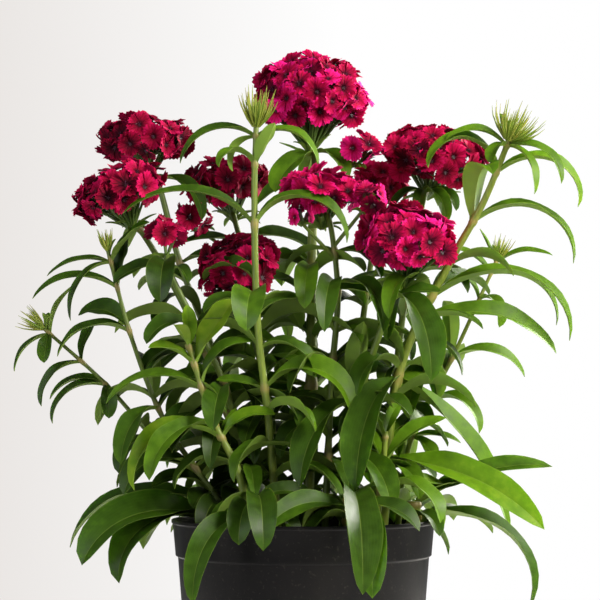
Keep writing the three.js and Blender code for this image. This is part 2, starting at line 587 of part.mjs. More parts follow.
// One floret: five broad petals round a hollowed eye, on a three-sided tube that is sunk in the core.
function floretSolid({ centre, facing, size, spin }) {
  const frame = frameAlong(facing.toArray());
  const corners = PETALS * 3;
  const petalTurn = 360 / PETALS;
  const geometry = new THREE.CylinderGeometry(1, 1, 1, corners, 2);
  return solidOf(reshape(geometry, (v) => {
    const isRim = v.y > 0.25;
    const isThroat = Math.abs(v.y) < 0.25;
    const corner = Math.round((Math.atan2(v.x, v.z) / (2 * Math.PI)) * corners + corners) % corners;
    const isNotch = corner % 3 === 0;
    const isCentre = Math.hypot(v.x, v.z) < 0.5;
    const outward = isNotch ? 0 : petalTurn / 2 + (corner % 3 === 1 ? -FLORET.shoulder : FLORET.shoulder);
    const onRim = Math.floor(corner / 3) * petalTurn + outward;
    const onTube = Math.floor(corner / PETALS) * 120 + 60;
    const angle = ((isRim ? onRim : onTube) + spin) * RAD;
    let reach = 0;
    let height = -FLORET.sink;
    if (isRim) {
      reach = isCentre ? 0 : size * (isNotch ? FLORET.notch : 1);
      height = isCentre ? -FLORET.dish : isNotch ? 0 : -FLORET.droop;
    } else if (isThroat) {
      reach = FLORET.throat;
      height = -FLORET.throatDepth;
    }
    v.copy(centre);
    v.addScaledVector(frame.across, Math.cos(angle) * reach);
    v.addScaledVector(frame.second, Math.sin(angle) * reach);
    v.addScaledVector(frame.along, height);
  }));
}

// The smaller dome that a head's florets stand out of.
function coreSolid(spec) {
  const frame = frameAlong(spec.lean);
  const inset = Math.min(CORE_INSET, spec.across * 0.45);
  const geometry = new THREE.SphereGeometry(1, 7, spec.across > 15 ? 4 : 3);
  return solidOf(reshape(geometry, (v) => {
    const height = v.y > 0 ? spec.above - inset : spec.below;
    const { x, y, z } = v;
    v.copy(fromHead(spec, frame, -x * (spec.across - inset), z * (spec.across - inset), y * height));
  }));
}

// The crimson part of a head.
function headSolid(spec) {
  return wasm.Manifold.union([coreSolid(spec), ...floretPlaces(spec).map(floretSolid)]);
}

const calyxDepth = (spec) => Math.min(CALYX.depth, spec.across / 2);

// A point on a head's axis, so far below the foot of its core.
function belowHead(spec, distance) {
  return fromHead(spec, frameAlong(spec.lean), 0, 0, -spec.below - CLEARANCE - distance);
}

// A straight spike or tube from one point towards another, with its own radii at the two ends.
function spikeSolid(from, to, radius, tipRadius, sides) {
  const length = from.distanceTo(to);
  const frame = frameAlong(to.clone().sub(from).toArray());
  const geometry = new THREE.CylinderGeometry(tipRadius, radius, length, sides, 1);
  return solidOf(reshape(geometry, (v) => {
    const { x, y, z } = v;
    v.copy(from)
      .addScaledVector(frame.across, z)
      .addScaledVector(frame.second, x)
      .addScaledVector(frame.along, y + length / 2);
  }));
}

// A piece at the largest scale, of 1 down to 0.4, at which it clears the petals, if any does.
function fitted(petals, build) {
  for (let scale = 1; scale > 0.35; scale -= 0.1) {
    if (build(scale, CLEARANCE).intersect(petals).isEmpty()) return [build(scale, 0)];
  }
  return [];
}

// The fluted bundle of calyces that carries a head, and the awl-shaped bracts that spread from under it.
function underHead(spec, petals) {
  const frame = frameAlong(spec.lean);
  const height = calyxDepth(spec);
  const root = belowHead(spec, height);
  const bundle = fitted(petals, (scale, grow) => {
    const top = spec.across * CALYX.spread * scale + grow;
    const geometry = new THREE.CylinderGeometry(top, CALYX.foot, height, CALYX.flutes * 2, 1);
    return solidOf(reshape(geometry, (v) => {
      const flute = Math.round((Math.atan2(v.x, v.z) / Math.PI) * CALYX.flutes) % 2 ? CALYX.fluteDepth : 1;
      const { x, y, z } = v;
      v.copy(root)
        .addScaledVector(frame.across, z * flute)
        .addScaledVector(frame.second, x * flute)
        .addScaledVector(frame.along, y + height / 2);
    }));
  });
  const count = spec.across > 15 ? CALYX.bracts : 2;
  const bracts = Array.from({ length: count }, (_, i) => {
    const turn = ((i + draw(spec.seed, i + 400) * 0.6) * 2 * Math.PI) / count;
    const spread = mix(0.95, 1.2, draw(spec.seed, i + 420));
    const direction = new THREE.Vector3()
      .addScaledVector(frame.across, Math.cos(turn) * Math.sin(spread))
      .addScaledVector(frame.second, Math.sin(turn) * Math.sin(spread))
      .addScaledVector(frame.along, Math.cos(spread));
    const reach = spec.across * 0.7 + 10;
    const base = root.clone().addScaledVector(direction, 1.2);
    return fitted(petals, (scale, grow) => {
      const tip = root.clone().addScaledVector(direction, reach * scale);
      return spikeSolid(base, tip, CALYX.bractRadius + grow, grow, 3);
    });
  });
  return [...bundle, ...bracts.flat()];
}

// The short stalk that carries a side head, from its stem to the head's calyces.
function sideStalk(curve, spec) {
  const end = belowHead(spec, calyxDepth(spec) / 2);
  const start = curve.getPoint(shareAtHeight(curve, end.z - 22));
  return spikeSolid(start, end, 1.3, 1.1, 5);
}

// A tuft of stiff, pointed bud scales that stand out of a small bud at a stem's end.
function tuftSolids(end, spec) {
  const frame = frameAlong(spec.lean);
  const place = (x, y, z) => end.clone()
    .addScaledVector(frame.across, x)
    .addScaledVector(frame.second, y)
    .addScaledVector(frame.along, z);
  const bud = new THREE.SphereGeometry(1, 6, 4);
  const pieces = [solidOf(reshape(bud, (v) => {
    v.copy(place(-v.x * spec.core, v.z * spec.core, (v.y + 0.7) * spec.core * 1.2));
  }))];
  for (let i = 0; i < spec.count; i++) {
    const lean = Math.sqrt((i + 0.5) / spec.count) * spec.spread * RAD;
    const turn = (i * GOLDEN_ANGLE + draw(spec.seed, i) * 20) * RAD;
    const length = spec.length * mix(0.8, 1.05, draw(spec.seed, i + 50));
    const across = Math.sin(lean) * Math.cos(turn);
    const second = Math.sin(lean) * Math.sin(turn);
    const root = place(across * spec.core * 1.2, second * spec.core * 1.2, spec.core * 0.9);
    const tip = place(across * length, second * length, Math.cos(lean) * length);
    pieces.push(spikeSolid(root, tip, SPIKE_RADIUS, 0, 3));
  }
  return pieces;
}

// ---------------------------------------------------------------- pot and soil

// The nursery pot: a tapered wall, a deep band with a lip round the rim, a floor and its drain holes.
function potSolid() {
  const bandFoot = POT.height - POT.bandHeight;
  const lipFoot = POT.height - POT.lipHeight;
  const profile = [
    [0, 0], [POT.baseRadius, 0], [POT.shoulderRadius, bandFoot - 1], [POT.bandBottomRadius, bandFoot],
    [POT.bandTopRadius, lipFoot], [POT.rimRadius, lipFoot + 0.5], [POT.rimRadius, POT.height],
    [POT.rimRadius - POT.wall, POT.height], [POT.bandBottomRadius - POT.wall, bandFoot + 2],
    [POT.shoulderRadius - POT.wall, bandFoot - 1], [POT.baseRadius - POT.wall, POT.floor], [0, POT.floor],
  ].map(([r, z]) => new THREE.Vector2(r, z));
  const shell = solidOf(new THREE.LatheGeometry(profile, POT.sides).rotateX(Math.PI / 2));
  const holes = Array.from({ length: POT.holes }, (_, i) => {
    const angle = ((i + 0.5) / POT.holes) * 2 * Math.PI;
    const drill = new THREE.CylinderGeometry(POT.holeRadius, POT.holeRadius, POT.floor * 4, 8);
    drill.rotateX(Math.PI / 2);
    drill.translate(Math.cos(angle) * POT.holeRing, Math.sin(angle) * POT.holeRing, 0);
    return solidOf(drill);
  });
  return shell.subtract(wasm.Manifold.union(holes));
}

// The potting mix: it fills the pot to below the rim, with a crumbly top and a plain hole for every stem.
function soilSolid(sockets) {
  const inner = (z) => mix(POT.baseRadius, POT.shoulderRadius, z / (POT.height - POT.bandHeight)) - POT.wall;
  const foot = POT.floor + SOIL.clear;
  const shoulder = POT.height - POT.bandHeight - 3;
  const profile = [[0, foot], [inner(foot) - SOIL.clear, foot], [inner(shoulder) - SOIL.clear, shoulder],
    [inner(shoulder) - SOIL.clear, SOIL.level]];
  for (let ring = SOIL.rings; ring > 0; ring--) {
    profile.push([(inner(shoulder) - 3) * (ring / SOIL.rings) * 0.94, SOIL.level + 0.4]);
  }
  profile.push([0, SOIL.level + 0.4]);
  const geometry = new THREE.LatheGeometry(profile.map(([r, z]) => new THREE.Vector2(r, z)), POT.sides);
  geometry.rotateX(Math.PI / 2);
  const lumpy = reshape(geometry, (v) => {
    if (v.z > SOIL.level) v.z += SOIL.mound * Math.sin(v.x * 0.21) * Math.cos(v.y * 0.17 + 1);
  });
  return solidOf(lumpy).subtract(wasm.Manifold.union(sockets));
}

// ---------------------------------------------------------------- growing it all

// Every solid that stands already, with the node it belongs to.
const standing = [];

function stand(node, solid) {
  standing.push({ node, solid, box: solid.boundingBox() });
}

const apart = (a, b) => a.min.some((low, i) => low > b.max[i] || b.min[i] > a.max[i]);

// Whether a leaf keeps clear: all of it of the other nodes, and all past its root of the rest of its own.
function isClear(node, root, spec) {
  const whole = leafSolid(root, spec, CLEARANCE);
  const free = leafSolid(root, spec, 0, BLADE.rooted);
  const box = whole.boundingBox();
  return standing.every((other) =>
    apart(box, other.box) || (other.node === node ? free : whole).intersect(other.solid).isEmpty());
}

// A leaf that grows from a point of its stem, turned as little as it takes to pass its neighbours.
function clearLeaf(node, root, spec) {
  for (const shorter of [1, 0.8, 0.6]) {
    for (const [turn, lift] of NUDGES) {
      const bent = {
        ...spec, azimuth: spec.azimuth + turn, rise: spec.rise + lift, length: spec.length * shorter,
      };
      if (isClear(node, root, bent)) return leafSolid(root, bent);
    }
  }
  throw new Error(`${node} has no room for its leaf towards ${spec.azimuth} at ${root.z.toFixed(0)}`);
}

const plant = new THREE.Group();

function addNode(name, solid, material) {
  const { numProp, numVert, vertProperties, triVerts } = tidyMesh(solid);
  const position = new Float32Array(numVert * 3);
  for (let i = 0; i < numVert; i++) {
    position.set(vertProperties.subarray(i * numProp, i * numProp + 3), i * 3);
  }
  const geometry = new THREE.BufferGeometry()
    .setAttribute("position", new THREE.BufferAttribute(position, 3))
    .setIndex(new THREE.BufferAttribute(new Uint32Array(triVerts), 1));
  geometry.computeVertexNormals();
  const mesh = new THREE.Mesh(geometry, material);
  mesh.name = name;
  plant.add(mesh);
}

// The pot, the soil and every flower head stand first, then the bare stems, and the leaves grow between them.
const grown = STEMS.map((stem) => {
  const heads = stem.heads ?? [];
  const ends = heads.length ? [belowHead(heads[0], calyxDepth(heads[0]) / 2).toArray()] : [];
  const curve = curveOf([...stem.path, ...ends]);
  const jointShares = stem.joints.map(({ height }) => shareAtHeight(curve, height)).sort((a, b) => a - b);
  const shares = ringShares([...new Set(jointShares)]);
  return { stem, heads, curve, jointShares, shares };
});

const sockets = grown.map(({ stem, curve, jointShares, shares }) =>
  stemSolid(curve, shares, jointShares, stem.radii, CLEARANCE));
const pot = potSolid();
const soil = soilSolid(sockets);
stand("pot", pot);
stand("soil", soil);
addNode("pot", pot, MATERIALS.pot);
addNode("soil", soil, MATERIALS.soil);

for (const { stem, heads } of grown) {
  for (const spec of heads) {
    const solid = headSolid(spec);
    stand(spec.name, solid);
    addNode(spec.name, solid, stem.magenta ? MATERIALS.magenta : MATERIALS.crimson);
  }
}

// Every head's petals, which the green parts under each head keep clear of.
const allPetals = wasm.Manifold.union(
  standing.filter(({ node }) => node.startsWith("flowers")).map(({ solid }) => solid));

for (const item of grown) {
  const { stem, heads, curve, jointShares, shares } = item;
  item.pieces = [stemSolid(curve, shares, jointShares, stem.radii)];
  heads.forEach((spec, i) => {
    if (i > 0) item.pieces.push(sideStalk(curve, spec));
    item.pieces.push(...underHead(spec, allPetals));
  });
  if (stem.tuft) item.pieces.push(...tuftSolids(curve.getPoint(1), stem.tuft));
  item.pieces.forEach((piece) => stand(stem.name, piece));
}

for (const { stem, curve, pieces } of grown) {
  for (const { height, leaves } of stem.joints) {
    const root = curve.getPoint(shareAtHeight(curve, height));
    for (const spec of leaves) {
      const blade = clearLeaf(stem.name, root, spec);
      pieces.push(blade);
      stand(stem.name, blade);
    }
  }
  addNode(stem.name, wasm.Manifold.union(pieces), MATERIALS[stem.tone]);
}

export default plant;
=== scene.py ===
"""A potted sweet william (Dianthus barbatus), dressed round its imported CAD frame.

The nursery pot and its potting mix carry leafy stems with opposite leaves, domed heads of five-petalled
florets and bristly bud tufts. Every size and place is in millimetres, in the frame of the CAD model: the
origin in the middle of the pot's underside, +Z up, -Y the front and +X the right-hand side seen from there.
A mesh is grown in millimetres and turned to metres when it is finished.
"""

import logging
import math
from dataclasses import dataclass, replace
from enum import Enum
from typing import Any, Callable, Iterable, NamedTuple, Optional, Sequence

import bmesh
import bpy
from mathutils import Matrix, Vector, kdtree, noise


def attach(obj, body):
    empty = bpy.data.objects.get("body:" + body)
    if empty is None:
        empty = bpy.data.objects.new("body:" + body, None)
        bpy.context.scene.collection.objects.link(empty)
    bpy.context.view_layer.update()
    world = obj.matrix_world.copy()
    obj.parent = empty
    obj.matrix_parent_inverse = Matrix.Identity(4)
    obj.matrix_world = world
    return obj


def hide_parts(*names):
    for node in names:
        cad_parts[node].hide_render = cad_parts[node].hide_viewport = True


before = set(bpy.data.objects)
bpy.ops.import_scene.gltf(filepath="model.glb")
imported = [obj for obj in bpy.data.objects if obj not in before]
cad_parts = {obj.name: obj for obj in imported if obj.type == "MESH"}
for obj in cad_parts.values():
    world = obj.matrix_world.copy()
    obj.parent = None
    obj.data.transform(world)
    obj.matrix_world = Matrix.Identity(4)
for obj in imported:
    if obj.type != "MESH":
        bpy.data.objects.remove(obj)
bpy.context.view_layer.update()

LOG = logging.getLogger("sweet_william")

MM = 0.001  # a millimetre, in metres
FOOT = 128.0  # the height at which every stem ends in the potting mix
GOLDEN_ANGLE = math.radians(137.50776)
CLEARANCE = 0.7  # between a head's petals and the green parts that carry it

Point = tuple[float, float, float]
Place = Callable[[Vector], Vector]


# ---------------------------------------------------------------- sizes of the plant's parts


@dataclass(frozen=True)
class BladeSizes:
    """How every leaf blade is made up, in millimetres, degrees and shares of its length."""

    fold_at_root: float = 34.0
    fold_at_tip: float = 18.0
    root_share: float = 0.26
    steps: int = 24
    across: int = 6
    along: int = 16
    thickness: float = 0.62
    margin_thickness: float = 0.28
    keel: float = 0.75
    groove: float = 0.28
    ruffle: float = 0.05
    twist: float = 14.0
    straight: float = 0.85
    curl: float = 0.15
    rib_width: float = 0.2


@dataclass(frozen=True)
class FloretSizes:
    """One five-petalled floret with its calyx, in millimetres and degrees."""

    petals: int = 5
    radius: float = 10.3
    claw: float = 0.10
    claw_angle: float = 32.0
    petal_angle: float = 42.0
    teeth: float = 0.065
    shoulder: float = 0.13
    thickness: float = 0.34
    throat_depth: float = 1.7
    across: int = 10
    along: int = 3
    stamen_length: float = 2.2
    anther: float = 0.26
    calyx_length: float = 13.0
    calyx_radius: float = 1.7


@dataclass(frozen=True)
class HeadRule:
    """How the florets of a head share its dome."""

    crowding: float = 2.2
    spacing: float = 13.6
    lowest: float = 121.0
    tilt: float = 1.0
    rounds: int = 30
    calyx_depth: float = 9.0
    few: int = 3
    few_crowding: float = 1.34
    floret_share: float = 0.9
    floret_range: tuple[float, float] = (0.8, 1.02)
    palest: float = 0.74
    falloff: float = 1.3
    lit: float = 0.26
    # painted shade: heads towards the left-hand side are darker, away from the light
    left_painted_shade: float = 0.7
    left_shade_reach: float = 120.0


@dataclass(frozen=True)
class FoliageShades:
    """How the leaves differ in shade, where 0 is the darkest green and 1 the yellowest."""

    bright: float = 0.46
    deep: float = 0.23
    # painted light: foliage and stems are yellower towards the right-hand side, where the light falls
    painted_light_to_right: float = 0.16
    offset: float = 0.04
    spread: float = 0.24
    to_tip: float = 0.06
    # painted shade: the inner leaves are darker, where the outer foliage shades them
    inner_painted_shade: float = 0.15


@dataclass(frozen=True)
class TuftRule:
    """How a bud tuft is filled with bristles and sheathed, in millimetres and shares of its length."""

    crowding: int = 4
    bristle_length: tuple[float, float] = (0.58, 1.05)
    bristle_radius: tuple[float, float] = (0.5, 0.85)
    bristle_tip: float = 0.1
    bow: float = 0.13
    sheaths: int = 5
    sheath_length: tuple[float, float] = (0.55, 0.75)
    sheath_width: float = 0.24


@dataclass(frozen=True)
class UnderRule:
    """The bracts and scales under a head, in millimetres, and how far across a head counts as wide."""

    wide: float = 15.0
    bracts_if_wide: int = 7
    bracts: int = 4
    bract_width: tuple[float, float] = (2.6, 4.6)
    scales: int = 2
    scale_reach: float = 7.0


@dataclass(frozen=True)
class JointRule:
    """How a stem swells at a joint: the swelling's length in millimetres, and its share of the radius."""

    length: float = 2.6
    swell: float = 0.34


BLADE = BladeSizes()
FLORET = FloretSizes()
HEADS = HeadRule()
FOLIAGE = FoliageShades()
TUFTS = TuftRule()
UNDER = UnderRule()
JOINTS = JointRule()

# What a leaf was turned by, in degrees (round the stem, up), to pass clear of its neighbours: least first.
NUDGES = (
    (0, 0), (6, 0), (-6, 0), (0, 7), (0, -7), (12, 0), (-12, 0), (6, 7), (-6, 7), (6, -7), (-6, -7),
    (0, 14), (0, -14), (12, 10), (-12, 10), (12, -10), (-12, -10), (20, 0), (-20, 0), (20, 12), (-20, 12),
    (20, -12), (-20, -12), (30, 0), (-30, 0), (0, 24), (0, -24), (30, 20), (-30, 20), (30, -20), (-30, -20),
    (45, 0), (-45, 0), (45, 20), (-45, 20),
)


def mix(a: float, b: float, share: float) -> float:
    """The value a share of the way from a to b."""
    return a + (b - a) * share


def clamp01(value: float) -> float:
    """The value, held between 0 and 1."""
    return min(1.0, max(0.0, value))


def draw(seed: float, index: float) -> float:
    """A number from 0 to 1 that depends only on the seed and the draw's index."""
    wave = math.sin(seed * 127.1 + index * 311.7) * 43758.5453
    return wave - math.floor(wave)


# ---------------------------------------------------------------- the plant's plan


class Tone(Enum):
    """The two greens of the foliage, by the material slot that each belongs to."""

    DEEP = "foliage_deep"
    BRIGHT = "foliage_bright"


class Petals(Enum):
    """The two reds of the petals, by the material slot that each belongs to."""

    CRIMSON = "petals_crimson"
    MAGENTA = "petals_magenta"


class BladeFrame(NamedTuple):
    """A point of a leaf's rib, with the directions of its blade there."""

    point: Vector
    side: Vector
    normal: Vector


@dataclass(frozen=True)
class Leaf:
    """A leaf, as it grows from its joint.

    Its azimuth is the direction it points in (0 is +X, 90 is +Y), rise and fall are the slopes of its rib at
    the root and at the tip, bend says how late it bends (1 is an even arc) and roll turns the blade about
    its rib. Shade, from 0 to 1, lies between the darkest and the yellowest green.
    """

    azimuth: float
    length: float
    width: float
    rise: float
    fall: float
    bend: float = 1.0
    roll: float = 0.0
    shade: Optional[float] = None

    def nudged(self, turn: float, lift: float, shorter: float) -> "Leaf":
        """The leaf turned round its stem, lifted and shortened."""
        return replace(self, azimuth=self.azimuth + turn, rise=self.rise + lift, length=self.length * shorter)

    def slope(self, share: float) -> float:
        """The slope of the rib at a share of its length, in radians."""
        return math.radians(mix(self.rise, self.fall, share**self.bend))

    def half_width(self, share: float) -> float:
        """Half the width of the blade: a clasping root, widest near the middle, a long point."""
        belly = mix(0.85, 1.3, clamp01((self.width / self.length - 0.14) / 0.14))
        blade = max(math.sin(math.pi * share**belly), 0.0) ** 0.62
        return (self.width / 2) * max(blade, BLADE.root_share * (1 - share))

    def frame_at(self, root: Vector, share: float, twist: float = 0.0) -> BladeFrame:
        """The rib's point and the blade's directions at a share of the length.

        Args:
            root: The point of the stem that the leaf grows from.
            share: How far along the rib, from 0 at the root to 1 at the tip.
            twist: How far the blade turns about its rib by the tip, in degrees.

        Returns:
            The point with the unit vectors to the blade's side and out of its upper face.
        """
        heading = Vector((math.cos(math.radians(self.azimuth)), math.sin(math.radians(self.azimuth)), 0.0))
        point = root.copy()
        step = self.length * share / BLADE.steps
        for i in range(BLADE.steps):
            slope = self.slope((i + 0.5) / BLADE.steps * share)
            point += heading * (math.cos(slope) * step)
            point.z += math.sin(slope) * step
        slope = self.slope(share)
        along = heading * math.cos(slope)
        along.z = math.sin(slope)
        level = Vector((-heading.y, heading.x, 0.0))
        up = along.cross(level)
        roll = math.radians(self.roll * clamp01(share * 3) + twist * share)
        side = level * math.cos(roll) + up * math.sin(roll)
        normal = up * math.cos(roll) - level * math.sin(roll)
        return BladeFrame(point, side, normal)


class Joint:
    """The leaves that leave a stem at one swollen joint."""

    def __init__(self, height: float, *leaves: Leaf) -> None:
        """Sets the joint.

        Args:
            height: Its height above the surface that the pot stands on.
            leaves: The leaves that grow from it.
        """
        self.height = height
        self.leaves = leaves


@dataclass(frozen=True)
class Tuft:
    """A bristly tuft of unopened buds at a stem's end."""

    lean: Point
    length: float
    spread: float
    count: int
    core: float
    seed: int


class Axes(NamedTuple):
    """Three unit vectors at right angles, the last along a given direction."""

    across: Vector
    second: Vector
    along: Vector


def axes_along(direction: Iterable[float]) -> Axes:
    """The axes whose last one runs along a direction."""
    along = Vector(direction).normalized()
    across = Vector((0, 1, 0)).cross(along).normalized()
    return Axes(across, along.cross(across), along)


class FloretPlace(NamedTuple):
    """Where a floret sits, the way it faces, its radius, its turn and its brightness."""

    centre: Vector
    facing: Vector
    radius: float
    spin: float
    tone: float


@dataclass(frozen=True)
class Head:
    """A domed head of florets: its middle, the way it faces and its sizes from that middle."""

    name: str
    centre: Point
    lean: Point
    across: float
    above: float
    below: float
    florets: int
    seed: int

    def at(self, x: float, y: float, z: float) -> Vector:
        """A point in the head's own axes as a point of the plant."""
        axes = axes_along(self.lean)
        return Vector(self.centre) + axes.across * x + axes.second * y + axes.along * z

    def foot(self, distance: float) -> Vector:
        """A point on the head's axis, so far below the underside of its dome."""
        return self.at(0, 0, -self.below - CLEARANCE - distance)

    def calyx_depth(self) -> float:
        """How deep the bundle of calyces under the dome is."""
        return min(HEADS.calyx_depth, self.across / 2)

    def directions(self) -> list[Vector]:
        """Unit vectors from the middle, pushed apart until the florets lie evenly on the dome."""
        crowding = HEADS.crowding if self.florets > HEADS.few else HEADS.few_crowding
        count = round(self.florets * crowding)
        lowest = math.cos(math.radians(HEADS.lowest))
        spread = []
        for i in range(count):
            z = mix(0.97, lowest, (i + 0.2) / count)
            turn = i * GOLDEN_ANGLE + math.radians(self.seed * 40)
            flat = math.sqrt(1 - z * z)
            spread.append(Vector((math.cos(turn) * flat, math.sin(turn) * flat, z)))
        stretch = Vector((self.across, self.across, self.above))
        for _ in range(HEADS.rounds):
            for one in spread:
                for other in spread:
                    gap = (one - other) * stretch
                    if one is other or gap.length > HEADS.spacing:
                        continue
                    push = gap * (0.3 * (HEADS.spacing - gap.length) / (max(gap.length, 0.01) * self.across))
                    one += push
                    other -= push
                    one.normalize()
                    other.normalize()
                one.z = max(one.z, lowest)
                one.normalize()
        return spread

    def floret_places(self) -> list[FloretPlace]:
        """Where each floret of the head sits."""
        axes = axes_along(self.lean)
        places = []
        for i, direction in enumerate(self.directions()):
            height = self.above if direction.z > 0 else self.below
            inset = 0.6 + 4.0 * draw(self.seed, i + 120) if self.florets > HEADS.few else 1.5
            across = self.across - inset
            centre = self.at(direction.x * across, direction.y * across, direction.z * (height - inset))
            tilt = Vector([draw(self.seed, i + step) - 0.5 for step in (500, 600, 700)]) * HEADS.tilt
            facing = (
                axes.across * (direction.x / self.across)
                + axes.second * (direction.y / self.across)
                + axes.along * (direction.z / height)
            ).normalized() + tilt
            widest = min(FLORET.radius, self.across * HEADS.floret_share)
            radius = widest * mix(*HEADS.floret_range, draw(self.seed, i + 250))
            spin = draw(self.seed, i + 300) * math.tau / FLORET.petals
            places.append(FloretPlace(centre, facing.normalized(), radius, spin, draw(self.seed, i + 800)))
        return places


class Route:
    """A smooth curve through a few points: a centripetal Catmull-Rom spline."""

    def __init__(self, points: Sequence[Iterable[float]]) -> None:
        """Sets the curve.

        Args:
            points: The points that it passes through, at least two.
        """
        self.points = [Vector(p) for p in points]

    def _ends(self, index: int) -> tuple[Vector, Vector, Vector, Vector]:
        """The four points that shape one span."""
        p = self.points
        before = p[index - 1] if index > 0 else p[0] * 2 - p[1]
        after = p[index + 2] if index + 2 < len(p) else p[-1] * 2 - p[-2]
        return before, p[index], p[index + 1], after

    def point(self, share: float) -> Vector:
        """The point at a share of the curve, from 0 to 1."""
        reach = (len(self.points) - 1) * clamp01(share)
        index = min(int(reach), len(self.points) - 2)
        t = reach - index
        x0, x1, x2, x3 = self._ends(index)
        d0, d1, d2 = (math.sqrt((b - a).length) for a, b in ((x0, x1), (x1, x2), (x2, x3)))
        t1 = ((x1 - x0) / d0 - (x2 - x0) / (d0 + d1) + (x2 - x1) / d1) * d1
        t2 = ((x2 - x1) / d1 - (x3 - x1) / (d1 + d2) + (x3 - x2) / d2) * d1
        c2 = (x2 - x1) * 3 - t1 * 2 - t2
        c3 = (x1 - x2) * 2 + t1 + t2
        return x1 + t1 * t + c2 * t**2 + c3 * t**3

    def tangent(self, share: float) -> Vector:
        """The direction of the curve at a share of it."""
        delta = 0.001
        low, high = max(share - delta, 0.0), min(share + delta, 1.0)
        return (self.point(high) - self.point(low)).normalized()

    def share_at(self, height: float) -> float:
        """How far along a rising curve, from 0 to 1, it reaches a height."""
        low, high = 0.0, 1.0
        for _ in range(30):
            middle = (low + high) / 2
            if self.point(middle).z < height:
                low = middle
            else:
                high = middle
        return (low + high) / 2


@dataclass(frozen=True)
class Stem:
    """A stem or rosette: its green, its radii at the two ends, its route and all that it carries."""

    name: str
    tone: Tone
    radii: tuple[float, float]
    path: tuple[Point, ...]
    joints: tuple[Joint, ...]
    heads: tuple[Head, ...] = ()
    petals: Petals = Petals.CRIMSON
    tuft: Optional[Tuft] = None

    def route(self) -> Route:
        """The curve along the stem, up into the calyces of the head that it carries."""
        ends = [self.heads[0].foot(self.heads[0].calyx_depth() / 2)] if self.heads else []
        return Route([*self.path, *ends])


